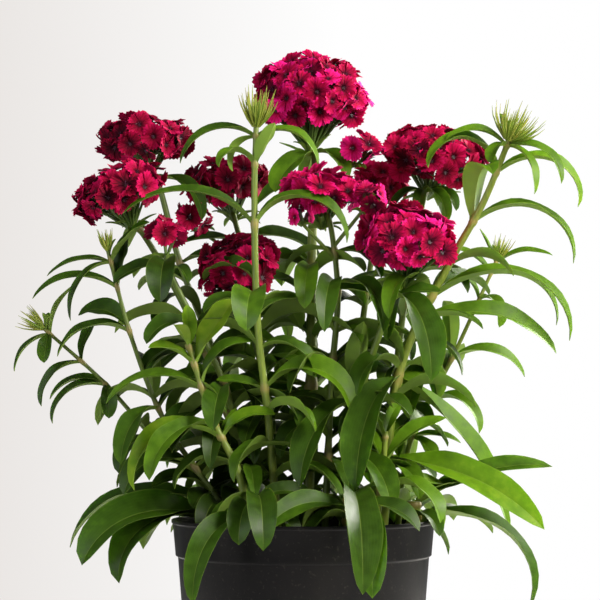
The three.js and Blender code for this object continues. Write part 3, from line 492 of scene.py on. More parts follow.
STEMS = (
    Stem(
        name="stem_tall_bud", tone=Tone.BRIGHT, radii=(2.7, 1.7),
        path=((-15, -28, FOOT), (-22, -37, 212), (-29, -43, 275), (-31, -47, 360), (-30, -47, 399)),
        joints=(
            Joint(234, Leaf(350, 75, 20, 52, -90, 1.1, 30), Leaf(172, 32, 9, 25, -5, 1, -35)),
            Joint(288, Leaf(262, 56, 23, 45, -100, 1, 0, 0.34), Leaf(58, 60, 19, 28, -60)),
            Joint(337, Leaf(183, 93, 10, 52, -42, 1, -30), Leaf(354, 82, 14, 65, -88, 1, 25)),
            Joint(375, Leaf(205, 34, 12, 60, -88, 1.2, -15), Leaf(320, 30, 13, 62, 58)),
            Joint(393, Leaf(182, 60, 9, 36, -76, 1, -30), Leaf(354, 52, 10, 34, -84, 1, 30),
                  Leaf(196, 31, 11, 8, -105, 0.8)),
        ),
        tuft=Tuft((0.08, -0.05, 1), 26, 40, 16, 6, 11),
    ),
    Stem(
        name="stem_left_shoot", tone=Tone.BRIGHT, radii=(3.0, 1.6),
        path=((-33, -40, FOOT), (-40, -43, 179), (-56, -44, 212), (-73, -44, 262)),
        joints=(
            Joint(203, Leaf(184, 82, 20, 38, -100, 1, -35, 0.62), Leaf(4, 40, 13, 62, -15, 1, 35, 0.62),
                  Leaf(60, 26, 8, 50, 50)),
            Joint(212, Leaf(214, 66, 17, 12, -85, 1, -30)),
            Joint(235, Leaf(178, 68, 10, 30, -58, 1.2, -30), Leaf(6, 50, 12, 88, -8, 1, 30)),
            Joint(249, Leaf(198, 34, 12, 56, -12, 1, -30, 0.74), Leaf(10, 56, 20, 66, 48, 1, 45, 0.74)),
            Joint(260, Leaf(118, 27, 12, 88, 78, 1, 0, 0.74), Leaf(245, 26, 10, 60, 10, 1, 0, 0.74)),
        ),
    ),
    Stem(
        name="stem_right_tall", tone=Tone.BRIGHT, radii=(3.2, 1.8),
        path=((50, -4, FOOT), (62, -13, 246), (93, -17, 313), (115, -27, 353), (131, -34, 392)),
        joints=(
            Joint(190, Leaf(343, 114, 24, -5, -48, 1.3, 45)),
            # The big strap leaf's shade of 0.2 is painted shade, where it hangs in the plant's shadow.
            Joint(241, Leaf(14, 130, 21, -30, -76, 1, 45), Leaf(232, 106, 27, -4, -90, 1, 0, 0.2)),
            Joint(279, Leaf(4, 98, 19, 14, -56, 1.5, 38)),
            Joint(293, Leaf(0, 120, 16, 34, -98, 1.5, 15)),
            Joint(341, Leaf(2, 90, 13, 38, -96, 1.2, 15), Leaf(288, 58, 20, 84, -70, 2.2)),
            Joint(372, Leaf(190, 67, 14, 88, -82, 1, -30), Leaf(0, 76, 13, 38, -105, 1.3, 25)),
            Joint(389, Leaf(185, 44, 9, 50, -40, 1, -35), Leaf(0, 50, 9, 12, -95, 1.2, 35),
                  Leaf(318, 44, 9, 5, -100, 0.7), Leaf(225, 24, 11, 30, -95)),
        ),
        tuft=Tuft((0.42, -0.1, 0.9), 27, 54, 18, 8, 12),
    ),
    Stem(
        name="stem_low_right_head", tone=Tone.DEEP, radii=(2.4, 1.7),
        path=((26, -18, FOOT), (36, -24, 228), (55, -30, 287), (60, -32, 302)),
        joints=(
            Joint(193, Leaf(312, 56, 20, 0, -80, 1, 15)),
            Joint(226, Leaf(300, 52, 17, 88, 66), Leaf(228, 86, 23, 2, -88)),
            Joint(291, Leaf(297, 84, 24, 32, -94, 0.6), Leaf(180, 50, 10, 25, -15, 1, -35)),
            Joint(291, Leaf(350, 32, 14, 34, -10, 1, 30)),
        ),
        heads=(Head("flowers_low_right", (66, -38, 327), (0.05, -0.3, 0.95), 31, 23, 20, 17, 21),),
        petals=Petals.MAGENTA,
    ),
    Stem(
        name="stem_centre_head", tone=Tone.DEEP, radii=(2.3, 1.6),
        path=((13, -15, FOOT), (18, -16, 240), (22, -17, 300), (15, -20, 346)),
        joints=(
            Joint(190, Leaf(20, 60, 18, 40, -60, 1, 35)),
            Joint(253, Leaf(30, 50, 16, 40, -50, 1, 35), Leaf(150, 50, 14, 35, -60)),
            Joint(297, Leaf(258, 68, 16, 58, -94, 0.7, -15), Leaf(305, 66, 15, 55, -94, 0.7, 15)),
            Joint(322, Leaf(335, 40, 12, 30, -80, 1, 35), Leaf(140, 46, 11, 25, -50)),
        ),
        heads=(
            Head("flowers_centre", (13, -21, 361), (0.05, -0.3, 0.95), 26, 15, 15, 10, 22),
            Head("flowers_centre_lower", (-2, -40, 345), (-0.1, -0.8, 0.6), 8, 5, 7, 2, 23),
            Head("flowers_centre_right", (42, -43, 356), (0.35, -0.55, 0.75), 10, 6, 8, 3, 24),
        ),
        petals=Petals.MAGENTA,
    ),
    Stem(
        name="stem_big_head", tone=Tone.BRIGHT, radii=(3.7, 2.2),
        path=((2, 2, FOOT), (5, 3, 236), (6, 13, 340), (8, 16, 375), (7, 16, 392)),
        joints=(
            Joint(205, Leaf(12, 60, 20, 25, -50, 1, 35)),
            Joint(236, Leaf(186, 62, 21, 15, -30, 1, -25), Leaf(60, 60, 18, 35, -60)),
            Joint(313, Leaf(110, 70, 24, 45, -60), Leaf(262, 54, 17, 30, -92, 0.8)),
            Joint(366, Leaf(8, 62, 12, 25, -75, 1, 35), Leaf(165, 44, 16, 25, -50, 1, -35)),
            Joint(391, Leaf(306, 38, 14, 12, -78, 0.9, 15), Leaf(205, 42, 20, 0, -75, 1, -35),
                  Leaf(100, 45, 13, 10, -70)),
        ),
        heads=(
            Head("flowers_big", (5, 15, 424), (0.01, -0.09, 1), 38, 31, 25, 28, 25),
            Head("flowers_big_side", (39, 0, 392), (0.35, -0.55, 0.75), 11, 8, 9, 3, 26),
        ),
        petals=Petals.MAGENTA,
    ),
    Stem(
        name="stem_left_small_head", tone=Tone.DEEP, radii=(2.2, 1.6),
        path=((-24, -8, FOOT), (-50, -25, 235), (-79, -33, 295), (-87, -35, 313)),
        joints=(
            Joint(236, Leaf(262, 54, 18, 12, -74)),
            Joint(274, Leaf(200, 40, 15, 30, -70, 1, -35), Leaf(20, 44, 16, 50, -20, 1, 35)),
            Joint(311, Leaf(266, 52, 20, 50, -95, 0.7), Leaf(186, 38, 13, 15, -50, 1, -35)),
        ),
        heads=(Head("flowers_left_small", (-88, -38, 332), (-0.05, -0.15, 1), 12, 8, 9, 3, 27),),
    ),
    Stem(
        name="stem_low_left_head", tone=Tone.DEEP, radii=(2.4, 1.7),
        path=((-8, 8, FOOT), (-27, 6, 246), (-36, 5, 282)),
        joints=(
            Joint(215, Leaf(240, 60, 18, 30, -66)),
            Joint(250, Leaf(175, 60, 17, 35, -60, 1, -20), Leaf(328, 58, 20, 40, -60, 1, 35)),
            Joint(278, Leaf(29, 45, 16, 34, -50, 1, 35), Leaf(156, 48, 13, 30, -60)),
        ),
        heads=(Head("flowers_low_left", (-43, -15, 312), (-0.3, -0.66, 0.69), 26, 17, 17, 11, 28),),
    ),
    Stem(
        name="stem_left_head", tone=Tone.DEEP, radii=(2.5, 1.7),
        path=((-30, 6, FOOT), (-50, 0, 220), (-74, -9, 281), (-109, -20, 340)),
        joints=(
            Joint(220, Leaf(205, 62, 20, 20, -92, 1, -35), Leaf(45, 50, 16, 40, -50)),
            Joint(256, Leaf(165, 50, 18, 30, -70, 1, -35), Leaf(340, 50, 17, 50, -30, 1, 35)),
            Joint(308, Leaf(290, 34, 11, 40, -70)),
            Joint(337, Leaf(110, 34, 10, 20, -60)),
        ),
        heads=(Head("flowers_left", (-119, -25, 360), (-0.34, -0.2, 0.92), 30, 17, 17, 13, 29),),
    ),
    Stem(
        name="stem_right_head", tone=Tone.DEEP, radii=(2.6, 1.8),
        path=((44, 9, FOOT), (61, 19, 245), (67, 23, 291), (82, 30, 368)),
        joints=(
            Joint(215, Leaf(120, 60, 18, 35, -60), Leaf(310, 46, 17, 45, -60)),
            Joint(291, Leaf(80, 56, 16, 40, -60)),
            Joint(337, Leaf(170, 40, 12, 20, -60, 1, -35)),
            Joint(366, Leaf(196, 36, 8, 20, -92, 1, -35), Leaf(250, 38, 10, 20, -92, 0.8),
                  Leaf(292, 40, 12, 20, -90, 0.8), Leaf(345, 30, 9, 20, -92, 1, 35)),
        ),
        heads=(Head("flowers_right", (87, 32, 391), (0.12, -0.35, 0.93), 35, 20, 21, 19, 30),),
    ),
    Stem(
        name="stem_left_upper_bud", tone=Tone.DEEP, radii=(2.1, 1.2),
        path=((-38, -17, FOOT), (-46, -19, 150), (-88, -24, 212), (-110, -26, 267), (-125, -29, 322)),
        joints=(
            Joint(184, Leaf(200, 60, 20, 40, -80, 1, -35), Leaf(30, 46, 15, 50, -50)),
            Joint(222, Leaf(240, 60, 17, 5, -86), Leaf(20, 50, 17, 60, 0, 1, 35)),
            Joint(271, Leaf(178, 56, 11, 28, -72, 1.1, -30), Leaf(150, 46, 17, 58, -28, 1, -35)),
            Joint(299, Leaf(180, 60, 9, 32, -52, 1.1, -30), Leaf(45, 34, 15, 76, 80)),
            Joint(315, Leaf(180, 44, 6, 20, -45, 1, -30), Leaf(200, 52, 6, 0, -100, 0.8, -30),
                  Leaf(335, 38, 13, 62, 20, 1, 30)),
        ),
        tuft=Tuft((-0.2, 0, 1), 15, 30, 8, 3, 13),
    ),
    Stem(
        name="stem_left_low_bud", tone=Tone.DEEP, radii=(1.9, 1.1),
        path=((-44, 2, FOOT), (-52, 1, 155), (-98, -3, 203), (-129, -6, 238), (-168, -8, 273)),
        joints=(
            Joint(203, Leaf(228, 42, 15, 10, -85), Leaf(60, 46, 14, 50, -40)),
            Joint(237, Leaf(183, 50, 9, 12, -95, 1.2, -30), Leaf(168, 44, 10, 32, -60, 1, -30),
                  Leaf(285, 27, 12, -15, -92, 0.7)),
            Joint(252, Leaf(185, 44, 9, 0, -98, 1, -30), Leaf(55, 34, 10, 88, 30)),
            Joint(270, Leaf(6, 38, 8, 88, 35), Leaf(182, 36, 6, -10, -85, 1, -30),
                  Leaf(262, 24, 11, -30, -85)),
        ),
        tuft=Tuft((-0.82, 0, 0.55), 20, 30, 8, 3, 14),
    ),
    Stem(
        name="stem_right_slender_bud", tone=Tone.BRIGHT, radii=(2.0, 1.1),
        path=((60, 20, FOOT), (72, 29, 203), (99, 36, 254), (131, 44, 322)),
        joints=(
            Joint(203, Leaf(5, 34, 8, 15, -30, 1, 35), Leaf(328, 26, 12, -15, -75, 1, 20)),
            Joint(254, Leaf(2, 58, 12, 38, -64, 1, 35), Leaf(262, 46, 13, 92, 10, 2.5)),
            Joint(295, Leaf(178, 34, 8, 78, 5, 1, -30), Leaf(310, 35, 12, 35, -112, 0.8)),
            Joint(313, Leaf(4, 66, 9, 4, -100, 1.4, 35), Leaf(178, 32, 9, 55, 10, 1, -30)),
            Joint(320, Leaf(352, 40, 6, 38, -25, 1, 35), Leaf(150, 26, 5, 80, 60)),
        ),
        tuft=Tuft((0.3, 0, 0.95), 17, 30, 8, 3, 15),
    ),
    Stem(
        name="stem_upper_left_head", tone=Tone.DEEP, radii=(2.5, 1.7),
        path=((-26, 22, FOOT), (-52, 33, 236), (-83, 41, 319), (-101, 47, 379)),
        joints=(
            Joint(200, Leaf(170, 62, 21, 35, -75, 1, -35), Leaf(0, 46, 17, 40, -50, 1, 35)),
            Joint(256, Leaf(110, 56, 17, 40, -60), Leaf(200, 50, 17, 35, -70, 1, -35)),
            Joint(319, Leaf(345, 46, 13, 35, -60, 1, 35), Leaf(150, 44, 12, 35, -60)),
            Joint(377, Leaf(352, 52, 12, 12, -95, 1, 30), Leaf(186, 46, 12, 15, -60, 1, -35)),
        ),
        heads=(Head("flowers_upper_left", (-107, 49, 402), (-0.05, -0.18, 0.98), 32, 21, 17, 14, 31),),
    ),
    Stem(
        name="stem_mid_left_head", tone=Tone.DEEP, radii=(2.5, 1.7),
        path=((-12, 26, FOOT), (-20, 38, 200), (-30, 52, 281), (-48, 64, 354)),
        joints=(
            Joint(190, Leaf(60, 62, 18, 35, -70)),
            Joint(256, Leaf(120, 62, 18, 35, -65), Leaf(300, 50, 17, 45, -50)),
            Joint(336, Leaf(196, 46, 10, 20, -20, 1, -35), Leaf(230, 36, 12, 10, -92),
                  Leaf(12, 62, 18, 25, -50, 1, 30)),
        ),
        heads=(
            Head("flowers_mid_left", (-52, 68, 376), (-0.15, -0.2, 0.97), 30, 18, 17, 12, 32),
            Head("flowers_mid_left_side", (-74, 44, 350), (-0.2, -0.75, 0.6), 12, 7, 8, 3, 33),
        ),
    ),
    Stem(
        name="stem_mid_right_head", tone=Tone.DEEP, radii=(2.4, 1.6),
        path=((24, 26, FOOT), (39, 51, 271), (51, 66, 353)),
        joints=(
            Joint(185, Leaf(70, 62, 18, 35, -70)),
            Joint(240, Leaf(20, 56, 20, 40, -60, 1, 35), Leaf(130, 60, 17, 35, -65)),
            Joint(302, Leaf(60, 56, 15, 35, -70), Leaf(215, 46, 13, 30, -60)),
        ),
        heads=(Head("flowers_mid_right", (53, 69, 374), (0.1, -0.2, 0.97), 20, 14, 14, 7, 34),),
    ),
    Stem(
        name="stem_right_shoot", tone=Tone.BRIGHT, radii=(2.7, 1.5),
        path=((43, -31, FOOT), (50, -33, 182), (52, -34, 207)),
        joints=(
            Joint(170, Leaf(318, 56, 20, 45, -85), Leaf(12, 42, 12, 25, -15, 1, 35)),
            Joint(186, Leaf(8, 52, 14, 60, 12, 1, 35), Leaf(150, 32, 9, 60, 40)),
            Joint(203, Leaf(60, 30, 9, 75, 20, 1, 30), Leaf(200, 28, 9, 80, 50, 1, -30)),
        ),
    ),
    Stem(
        name="rosette_left", tone=Tone.DEEP, radii=(5.5, 3.5),
        path=((-55, -8, FOOT), (-57, -9, 165)),
        joints=(
            Joint(146, Leaf(202, 92, 26, 26, -98, 1.1, -30), Leaf(140, 80, 20, 30, -75, 1.3)),
            Joint(152, Leaf(190, 102, 34, 14, -72, 1.6, -35), Leaf(247, 42, 16, 36, -80, 1, -20)),
            Joint(158, Leaf(175, 114, 22, 19, -72, 1.6, -25), Leaf(90, 60, 18, 58, -60)),
            Joint(163, Leaf(208, 50, 15, 62, -40, 1, -25), Leaf(60, 40, 13, 70, 20)),
        ),
    ),
    Stem(
        name="rosette_front_left", tone=Tone.DEEP, radii=(5.5, 3.5),
        path=((-30, -56, FOOT), (-30, -58, 166)),
        joints=(
            Joint(152, Leaf(232, 90, 19, 20, -98, 1, -20), Leaf(168, 36, 14, 25, -40, 1, -40)),
            Joint(158, Leaf(255, 52, 19, 42, -98), Leaf(316, 44, 15, 20, -90)),
            Joint(161, Leaf(277, 70, 20, 44, -98)),
            Joint(164, Leaf(10, 40, 14, 40, -40, 1, 40), Leaf(100, 36, 13, 70, 10)),
        ),
    ),
    Stem(
        name="rosette_front_right", tone=Tone.DEEP, radii=(5.5, 3.5),
        path=((29, -58, FOOT), (29, -58, 168)),
        joints=(
            Joint(152, Leaf(281, 93, 25, 44, -98, 0.8, 12), Leaf(224, 42, 15, 38, -75)),
            Joint(158, Leaf(202, 66, 17, 30, -50, 1, -45), Leaf(345, 50, 16, 30, -60, 1, 30)),
            Joint(165, Leaf(269, 103, 26, 40, -98, 0.75, -12), Leaf(100, 50, 17, 70, -10)),
        ),
    ),
    Stem(
        name="rosette_right", tone=Tone.DEEP, radii=(5.5, 3.5),
        path=((70, -12, FOOT), (71, -13, 162)),
        joints=(
            Joint(146, Leaf(32, 70, 18, 28, -50, 1.3)),
            Joint(
                152,
                Leaf(356, 117, 18, 10, -116, 1.5, 15),
                Leaf(60, 66, 18, 40, -50),
                Leaf(300, 36, 13, 30, -70),
            ),
            Joint(160, Leaf(358, 94, 17, 38, -10, 1.6, 40), Leaf(332, 44, 10, 44, -12, 1, 25)),
        ),
    ),
    Stem(
        name="rosette_back_left", tone=Tone.DEEP, radii=(5.5, 3.5),
        path=((-36, 50, FOOT), (-36, 53, 162)),
        joints=(
            Joint(146, Leaf(120, 92, 23, 26, -92, 1.2), Leaf(160, 66, 19, 30, -60, 1.3, -20)),
            Joint(153, Leaf(95, 96, 25, 34, -92, 1.2), Leaf(143, 88, 20, 36, -70, 1.3)),
            Joint(160, Leaf(75, 56, 18, 50, -80), Leaf(180, 50, 16, 50, -60)),
        ),
    ),
    Stem(
        name="rosette_back_right", tone=Tone.DEEP, radii=(5.5, 3.5),
        path=((34, 53, FOOT), (34, 55, 162)),
        joints=(
            Joint(146, Leaf(60, 94, 22, 26, -92, 1.2), Leaf(15, 84, 21, 26, -80, 1.3, 20)),
            Joint(153, Leaf(86, 98, 26, 34, -92, 1.2), Leaf(38, 88, 20, 36, -70, 1.3)),
            Joint(160, Leaf(110, 56, 17, 50, -80), Leaf(5, 50, 16, 50, -60)),
        ),
    ),
)


# ---------------------------------------------------------------- shaders


def linear(code: str) -> tuple[float, float, float, float]:
    """An sRGB colour such as "#2f5a1e" as linear light.

    Args:
        code: The colour, as six hexadecimal digits after a hash.

    Returns:
        Red, green, blue and an alpha of 1.
    """
    channels = [int(code[i : i + 2], 16) / 255 for i in (1, 3, 5)]
    red, green, blue = (c / 12.92 if c <= 0.04045 else ((c + 0.055) / 1.055) ** 2.4 for c in channels)
    return red, green, blue, 1.0


def add_node(
    tree: bpy.types.NodeTree, kind: str, inputs: Optional[dict[Any, Any]] = None, **settings: Any
) -> Any:
    """Adds a shader node with its settings, values and links.

    Args:
        tree: The node tree to add to.
        kind: The node's type, without the ShaderNode in front.
        inputs: For each input, by name or number, a value or the output socket to link to it.
        settings: Properties of the node itself.

    Returns:
        The new node.
    """
    node = tree.nodes.new("ShaderNode" + kind)
    for key, value in settings.items():
        setattr(node, key, value)
    for key, value in (inputs or {}).items():
        if isinstance(value, bpy.types.NodeSocket):
            tree.links.new(value, node.inputs[key])
        else:
            node.inputs[key].default_value = value
    return node


def ramp(tree: bpy.types.NodeTree, factor: Any, stops: Sequence[tuple[float, str]]) -> Any:
    """Adds a colour ramp and gives back its colour output.

    Args:
        tree: The node tree to add to.
        factor: The output socket that drives it.
        stops: Pairs of a place from 0 to 1 and an sRGB colour.

    Returns:
        The ramp's colour output socket.
    """
    node = add_node(tree, "ValToRGB", {"Fac": factor})
    marks = node.color_ramp.elements
    while len(marks) < len(stops):
        marks.new(0.5)
    for mark, (place, code) in zip(marks, stops):
        mark.position = place
        mark.color = linear(code)
    return node.outputs["Color"]


def blend(tree: bpy.types.NodeTree, factor: Any, first: Any, second: Any) -> Any:
    """Adds a colour mix and gives back its output.

    Args:
        tree: The node tree to add to.
        factor: A number or an output socket, 0 for all first and 1 for all second.
        first: A colour or an output socket.
        second: A colour or an output socket.

    Returns:
        The mixed colour's output socket.
    """
    node = add_node(tree, "Mix", {0: factor, 6: first, 7: second}, data_type="RGBA", clamp_factor=True)
    return node.outputs[2]


def math_node(tree: bpy.types.NodeTree, operation: str, *values: Any) -> Any:
    """Adds a math node and gives back its output."""
    return add_node(tree, "Math", dict(enumerate(values)), operation=operation).outputs[0]


def remap(
    tree: bpy.types.NodeTree, value: Any, low: float, high: float, to_low: float, to_high: float
) -> Any:
    """Adds a clamped map range and gives back its output.

    Args:
        tree: The node tree to add to.
        value: The output socket to map.
        low: The value that becomes to_low.
        high: The value that becomes to_high.
        to_low: The result at and beyond low.
        to_high: The result at and beyond high.

    Returns:
        The mapped value's output socket.
    """
    inputs = {"Value": value, "From Min": low, "From Max": high, "To Min": to_low, "To Max": to_high}
    return add_node(tree, "MapRange", inputs).outputs["Result"]


def grain(tree: bpy.types.NodeTree, vector: Any, size_mm: float, detail: float = 3.0) -> Any:
    """Adds a noise whose blotches have a size in millimetres and gives back its value."""
    scale = 1 / (size_mm * MM)
    return add_node(tree, "TexNoise", {"Vector": vector, "Scale": scale, "Detail": detail}).outputs["Fac"]


@dataclass(frozen=True)
class Finish:
    """A surface: what the material is and how it came to look as it does."""

    name: str

    def shade(self, tree: bpy.types.NodeTree, shader: Any) -> None:
        """Builds the nodes that feed the Principled shader."""
        raise NotImplementedError

    def material(self) -> bpy.types.Material:
        """The finish as a Blender material, made once."""
        found = bpy.data.materials.get(self.name)
        if found:
            return found
        made = bpy.data.materials.new(self.name)
        made.use_nodes = True
        tree = made.node_tree
        tree.nodes.clear()
        shader = add_node(tree, "BsdfPrincipled")
        add_node(tree, "OutputMaterial", {"Surface": shader.outputs["BSDF"]})
        self.shade(tree, shader)
        return made


def wire(tree: bpy.types.NodeTree, shader: Any, **sockets: Any) -> None:
    """Sets or links inputs of a Principled shader, named with underscores in place of spaces."""
    for key, value in sockets.items():
        socket = shader.inputs[key.replace("_", " ")]
        if isinstance(value, bpy.types.NodeSocket):
            tree.links.new(value, socket)
        else:
            socket.default_value = value


@dataclass(frozen=True)
class WaxyLeaf(Finish):
    """A living leaf with a thin waxy cuticle: a soft shine, a pale keel and a paler, duller underside."""

    shades: tuple[str, ...] = ("#1a2b05", "#314d0b", "#587c12", "#8a9f26")
    rib: str = "#8fa648"
    underside: str = "#7b9440"
    roughness: float = 0.4

    def shade(self, tree: bpy.types.NodeTree, shader: Any) -> None:
        """Builds the nodes that feed the Principled shader."""
        coords = add_node(tree, "TexCoord")
        tone = add_node(tree, "Attribute", attribute_name="tone").outputs["Fac"]
        under = add_node(tree, "Attribute", attribute_name="under").outputs["Fac"]
        grid = add_node(tree, "SeparateXYZ", {"Vector": coords.outputs["UV"]})
        aside = math_node(tree, "ABSOLUTE", math_node(tree, "SUBTRACT", grid.outputs["X"], 0.5))
        mottle = grain(tree, coords.outputs["Object"], 7.0)
        patchy = math_node(tree, "ADD", tone, remap(tree, mottle, 0.3, 0.7, -0.09, 0.09))
        places = [i / (len(self.shades) - 1) for i in range(len(self.shades))]
        body = ramp(tree, patchy, list(zip(places, self.shades)))
        # Dianthus veins run lengthwise: seven faint lines on each half of the blade.
        veins = math_node(tree, "SINE", math_node(tree, "MULTIPLY", grid.outputs["X"], 88.0))
        veined = blend(tree, remap(tree, veins, 0.2, 1.0, 0.0, 0.015), body, linear(self.rib))
        keel = remap(tree, aside, 0.006, 0.022, 0.2, 0.0)
        ribbed = blend(tree, keel, veined, linear(self.rib))
        margin = remap(tree, aside, 0.47, 0.5, 0.0, 0.15)
        edged = blend(tree, margin, ribbed, linear(self.rib))
        lower = blend(tree, math_node(tree, "MULTIPLY", under, 0.5), edged, linear(self.underside))
        uneven = remap(tree, mottle, 0.3, 0.7, self.roughness - 0.06, self.roughness + 0.08)
        rough = math_node(tree, "ADD", uneven, math_node(tree, "MULTIPLY", under, 0.2))
        fine = grain(tree, coords.outputs["Object"], 1.2)
        relief = math_node(tree, "ADD", math_node(tree, "MULTIPLY", veins, 0.08), fine)
        bump = add_node(tree, "Bump", {"Height": relief, "Strength": 0.35, "Distance": 0.12 * MM})
        wire(tree, shader, Base_Color=lower, Roughness=rough, Normal=bump.outputs["Normal"], IOR=1.45,
             Specular_IOR_Level=0.17, Subsurface_Weight=0.2, Subsurface_Radius=(0.7, 1.0, 0.15),
             Subsurface_Scale=1.0 * MM)


@dataclass(frozen=True)
class StemSkin(Finish):
    """The smooth waxy skin of a young stem, tinted pinkish brown at its swollen joints."""

    shades: tuple[str, ...] = ("#2f420f", "#5b6f1e", "#909c3c")
    joint: str = "#ad855c"

    def shade(self, tree: bpy.types.NodeTree, shader: Any) -> None:
        """Builds the nodes that feed the Principled shader."""
        coords = add_node(tree, "TexCoord")
        tone = add_node(tree, "Attribute", attribute_name="tone").outputs["Fac"]
        swollen = add_node(tree, "Attribute", attribute_name="joint").outputs["Fac"]
        stretch = add_node(tree, "Mapping", {"Vector": coords.outputs["Object"], "Scale": (1.0, 1.0, 0.12)})
        streaks = grain(tree, stretch.outputs["Vector"], 1.6)
        patchy = math_node(tree, "ADD", tone, remap(tree, streaks, 0.3, 0.7, -0.14, 0.14))
        places = [i / (len(self.shades) - 1) for i in range(len(self.shades))]
        body = ramp(tree, patchy, list(zip(places, self.shades)))
        tinted = blend(tree, math_node(tree, "MULTIPLY", swollen, 0.4), body, linear(self.joint))
        bump = add_node(tree, "Bump", {"Height": streaks, "Strength": 0.3, "Distance": 0.15 * MM})
        wire(tree, shader, Base_Color=tinted, Roughness=0.46, Normal=bump.outputs["Normal"], IOR=1.45,
             Subsurface_Weight=0.15, Subsurface_Radius=(0.8, 1.2, 0.3), Subsurface_Scale=1.0 * MM)


@dataclass(frozen=True)
class BudScale(Finish):
    """The thin papery skin of bracts and bud scales: fresh green at the root, dry and brown at the tip."""

    shades: tuple[str, ...] = ("#5f7e1e", "#93983a", "#75452c")

    def shade(self, tree: bpy.types.NodeTree, shader: Any) -> None:
        """Builds the nodes that feed the Principled shader."""
        coords = add_node(tree, "TexCoord")
        tone = add_node(tree, "Attribute", attribute_name="tone").outputs["Fac"]
        streaks = grain(tree, coords.outputs["Object"], 1.0)
        patchy = math_node(tree, "ADD", tone, remap(tree, streaks, 0.3, 0.7, -0.12, 0.12))
        body = ramp(tree, patchy, list(zip((0.0, 0.55, 1.0), self.shades)))
        wire(tree, shader, Base_Color=body, Roughness=0.55, IOR=1.45,
             Subsurface_Weight=0.2, Subsurface_Radius=(0.8, 1.0, 0.3), Subsurface_Scale=0.8 * MM)


@dataclass(frozen=True)
class RibbedCalyx(BudScale):
    """The ribbed tube that holds a floret: green at the root, dull maroon at its teeth, with painted shade
    there.
    """

    # the darkest, near-black stop is partly the calyx's own maroon and partly painted shade between the
    # florets
    shades: tuple[str, ...] = ("#4c6a24", "#3a3a1a", "#32101a")


@dataclass(frozen=True)
class VelvetPetal(Finish):
    """A petal whose surface cells stand up as a pile: velvety, darkest at the eye, pinker at the margin."""

    dark: str = "#34000f"
    body: str = "#860028"
    pink: str = "#c60e54"
    eye: str = "#1c0008"
    back: str = "#8c1440"
    glow: str = "#e0409a"

    def shade(self, tree: bpy.types.NodeTree, shader: Any) -> None:
        """Builds the nodes that feed the Principled shader."""
        coords = add_node(tree, "TexCoord")
        tone = add_node(tree, "Attribute", attribute_name="tone").outputs["Fac"]
        under = add_node(tree, "Attribute", attribute_name="under").outputs["Fac"]
        grid = add_node(tree, "SeparateXYZ", {"Vector": coords.outputs["UV"]})
        # The streaks run from the eye to the margin, about ten to a petal, as its veins do.
        stretch = add_node(tree, "Mapping", {"Vector": coords.outputs["UV"], "Scale": (9.0, 1.1, 1.0)})
        stretched = {"Vector": stretch.outputs["Vector"], "Scale": 1.6, "Detail": 2.0}
        streaks = add_node(tree, "TexNoise", stretched).outputs["Fac"]
        line = remap(tree, streaks, 0.35, 0.65, -0.2, 0.2)
        outward = remap(tree, grid.outputs["Y"], 0.15, 1.0, -0.22, 0.24)
        level = math_node(tree, "ADD", math_node(tree, "ADD", tone, line), outward)
        body = ramp(tree, level, [(0.0, self.dark), (0.45, self.body), (1.0, self.pink)])
        ringed = blend(tree, remap(tree, grid.outputs["Y"], 0.06, 0.3, 0.85, 0.0), body, linear(self.eye))
        backed = blend(tree, math_node(tree, "MULTIPLY", under, 0.4), ringed, linear(self.back))
        bump = add_node(tree, "Bump", {"Height": streaks, "Strength": 0.4, "Distance": 0.15 * MM})
        wire(tree, shader, Base_Color=backed, Roughness=0.75, Normal=bump.outputs["Normal"], IOR=1.4,
             Specular_IOR_Level=0.12, Sheen_Weight=0.08, Sheen_Roughness=0.4, Sheen_Tint=linear(self.glow),
             Subsurface_Weight=0.15, Subsurface_Radius=(1.0, 0.05, 0.3), Subsurface_Scale=0.5 * MM)


@dataclass(frozen=True)
class DuskyAnther(Finish):
    """Dusky violet stamens, powdered with a little paler pollen, that soften the dark eye of a floret."""

    colour: str = "#471433"

    def shade(self, tree: bpy.types.NodeTree, shader: Any) -> None:
        """Builds the nodes that feed the Principled shader."""
        coords = add_node(tree, "TexCoord")
        dust = grain(tree, coords.outputs["Object"], 0.5)
        body = blend(tree, remap(tree, dust, 0.3, 0.7, 0.0, 0.4), linear(self.colour), linear("#7c4468"))
        wire(tree, shader, Base_Color=body, Roughness=0.7)


@dataclass(frozen=True)
class MouldedPolypropylene(Finish):
    """Black recycled polypropylene, injection moulded: a soft shine, faint flow marks and a little dust."""

    colour: str = "#0b0b0c"
    dust: str = "#38352f"

    def shade(self, tree: bpy.types.NodeTree, shader: Any) -> None:
        """Builds the nodes that feed the Principled shader."""
        coords = add_node(tree, "TexCoord")
        flow = add_node(tree, "Mapping", {"Vector": coords.outputs["Object"], "Scale": (1.0, 1.0, 0.22)})
        marks = grain(tree, flow.outputs["Vector"], 22.0, 5.0)
        specks = grain(tree, coords.outputs["Object"], 2.2, 6.0)
        dusty = blend(tree, remap(tree, specks, 0.6, 0.74, 0.0, 0.4), linear(self.colour), linear(self.dust))
        greyed = blend(tree, remap(tree, marks, 0.4, 0.75, 0.0, 0.12), dusty, linear(self.dust))
        rough = remap(tree, marks, 0.3, 0.7, 0.34, 0.5)
        fine = grain(tree, coords.outputs["Object"], 0.9, 4.0)
        bump = add_node(tree, "Bump", {"Height": fine, "Strength": 0.25, "Distance": 0.1 * MM})
        wire(tree, shader, Base_Color=greyed, Roughness=rough, Normal=bump.outputs["Normal"], IOR=1.49,
             Specular_IOR_Level=0.1)


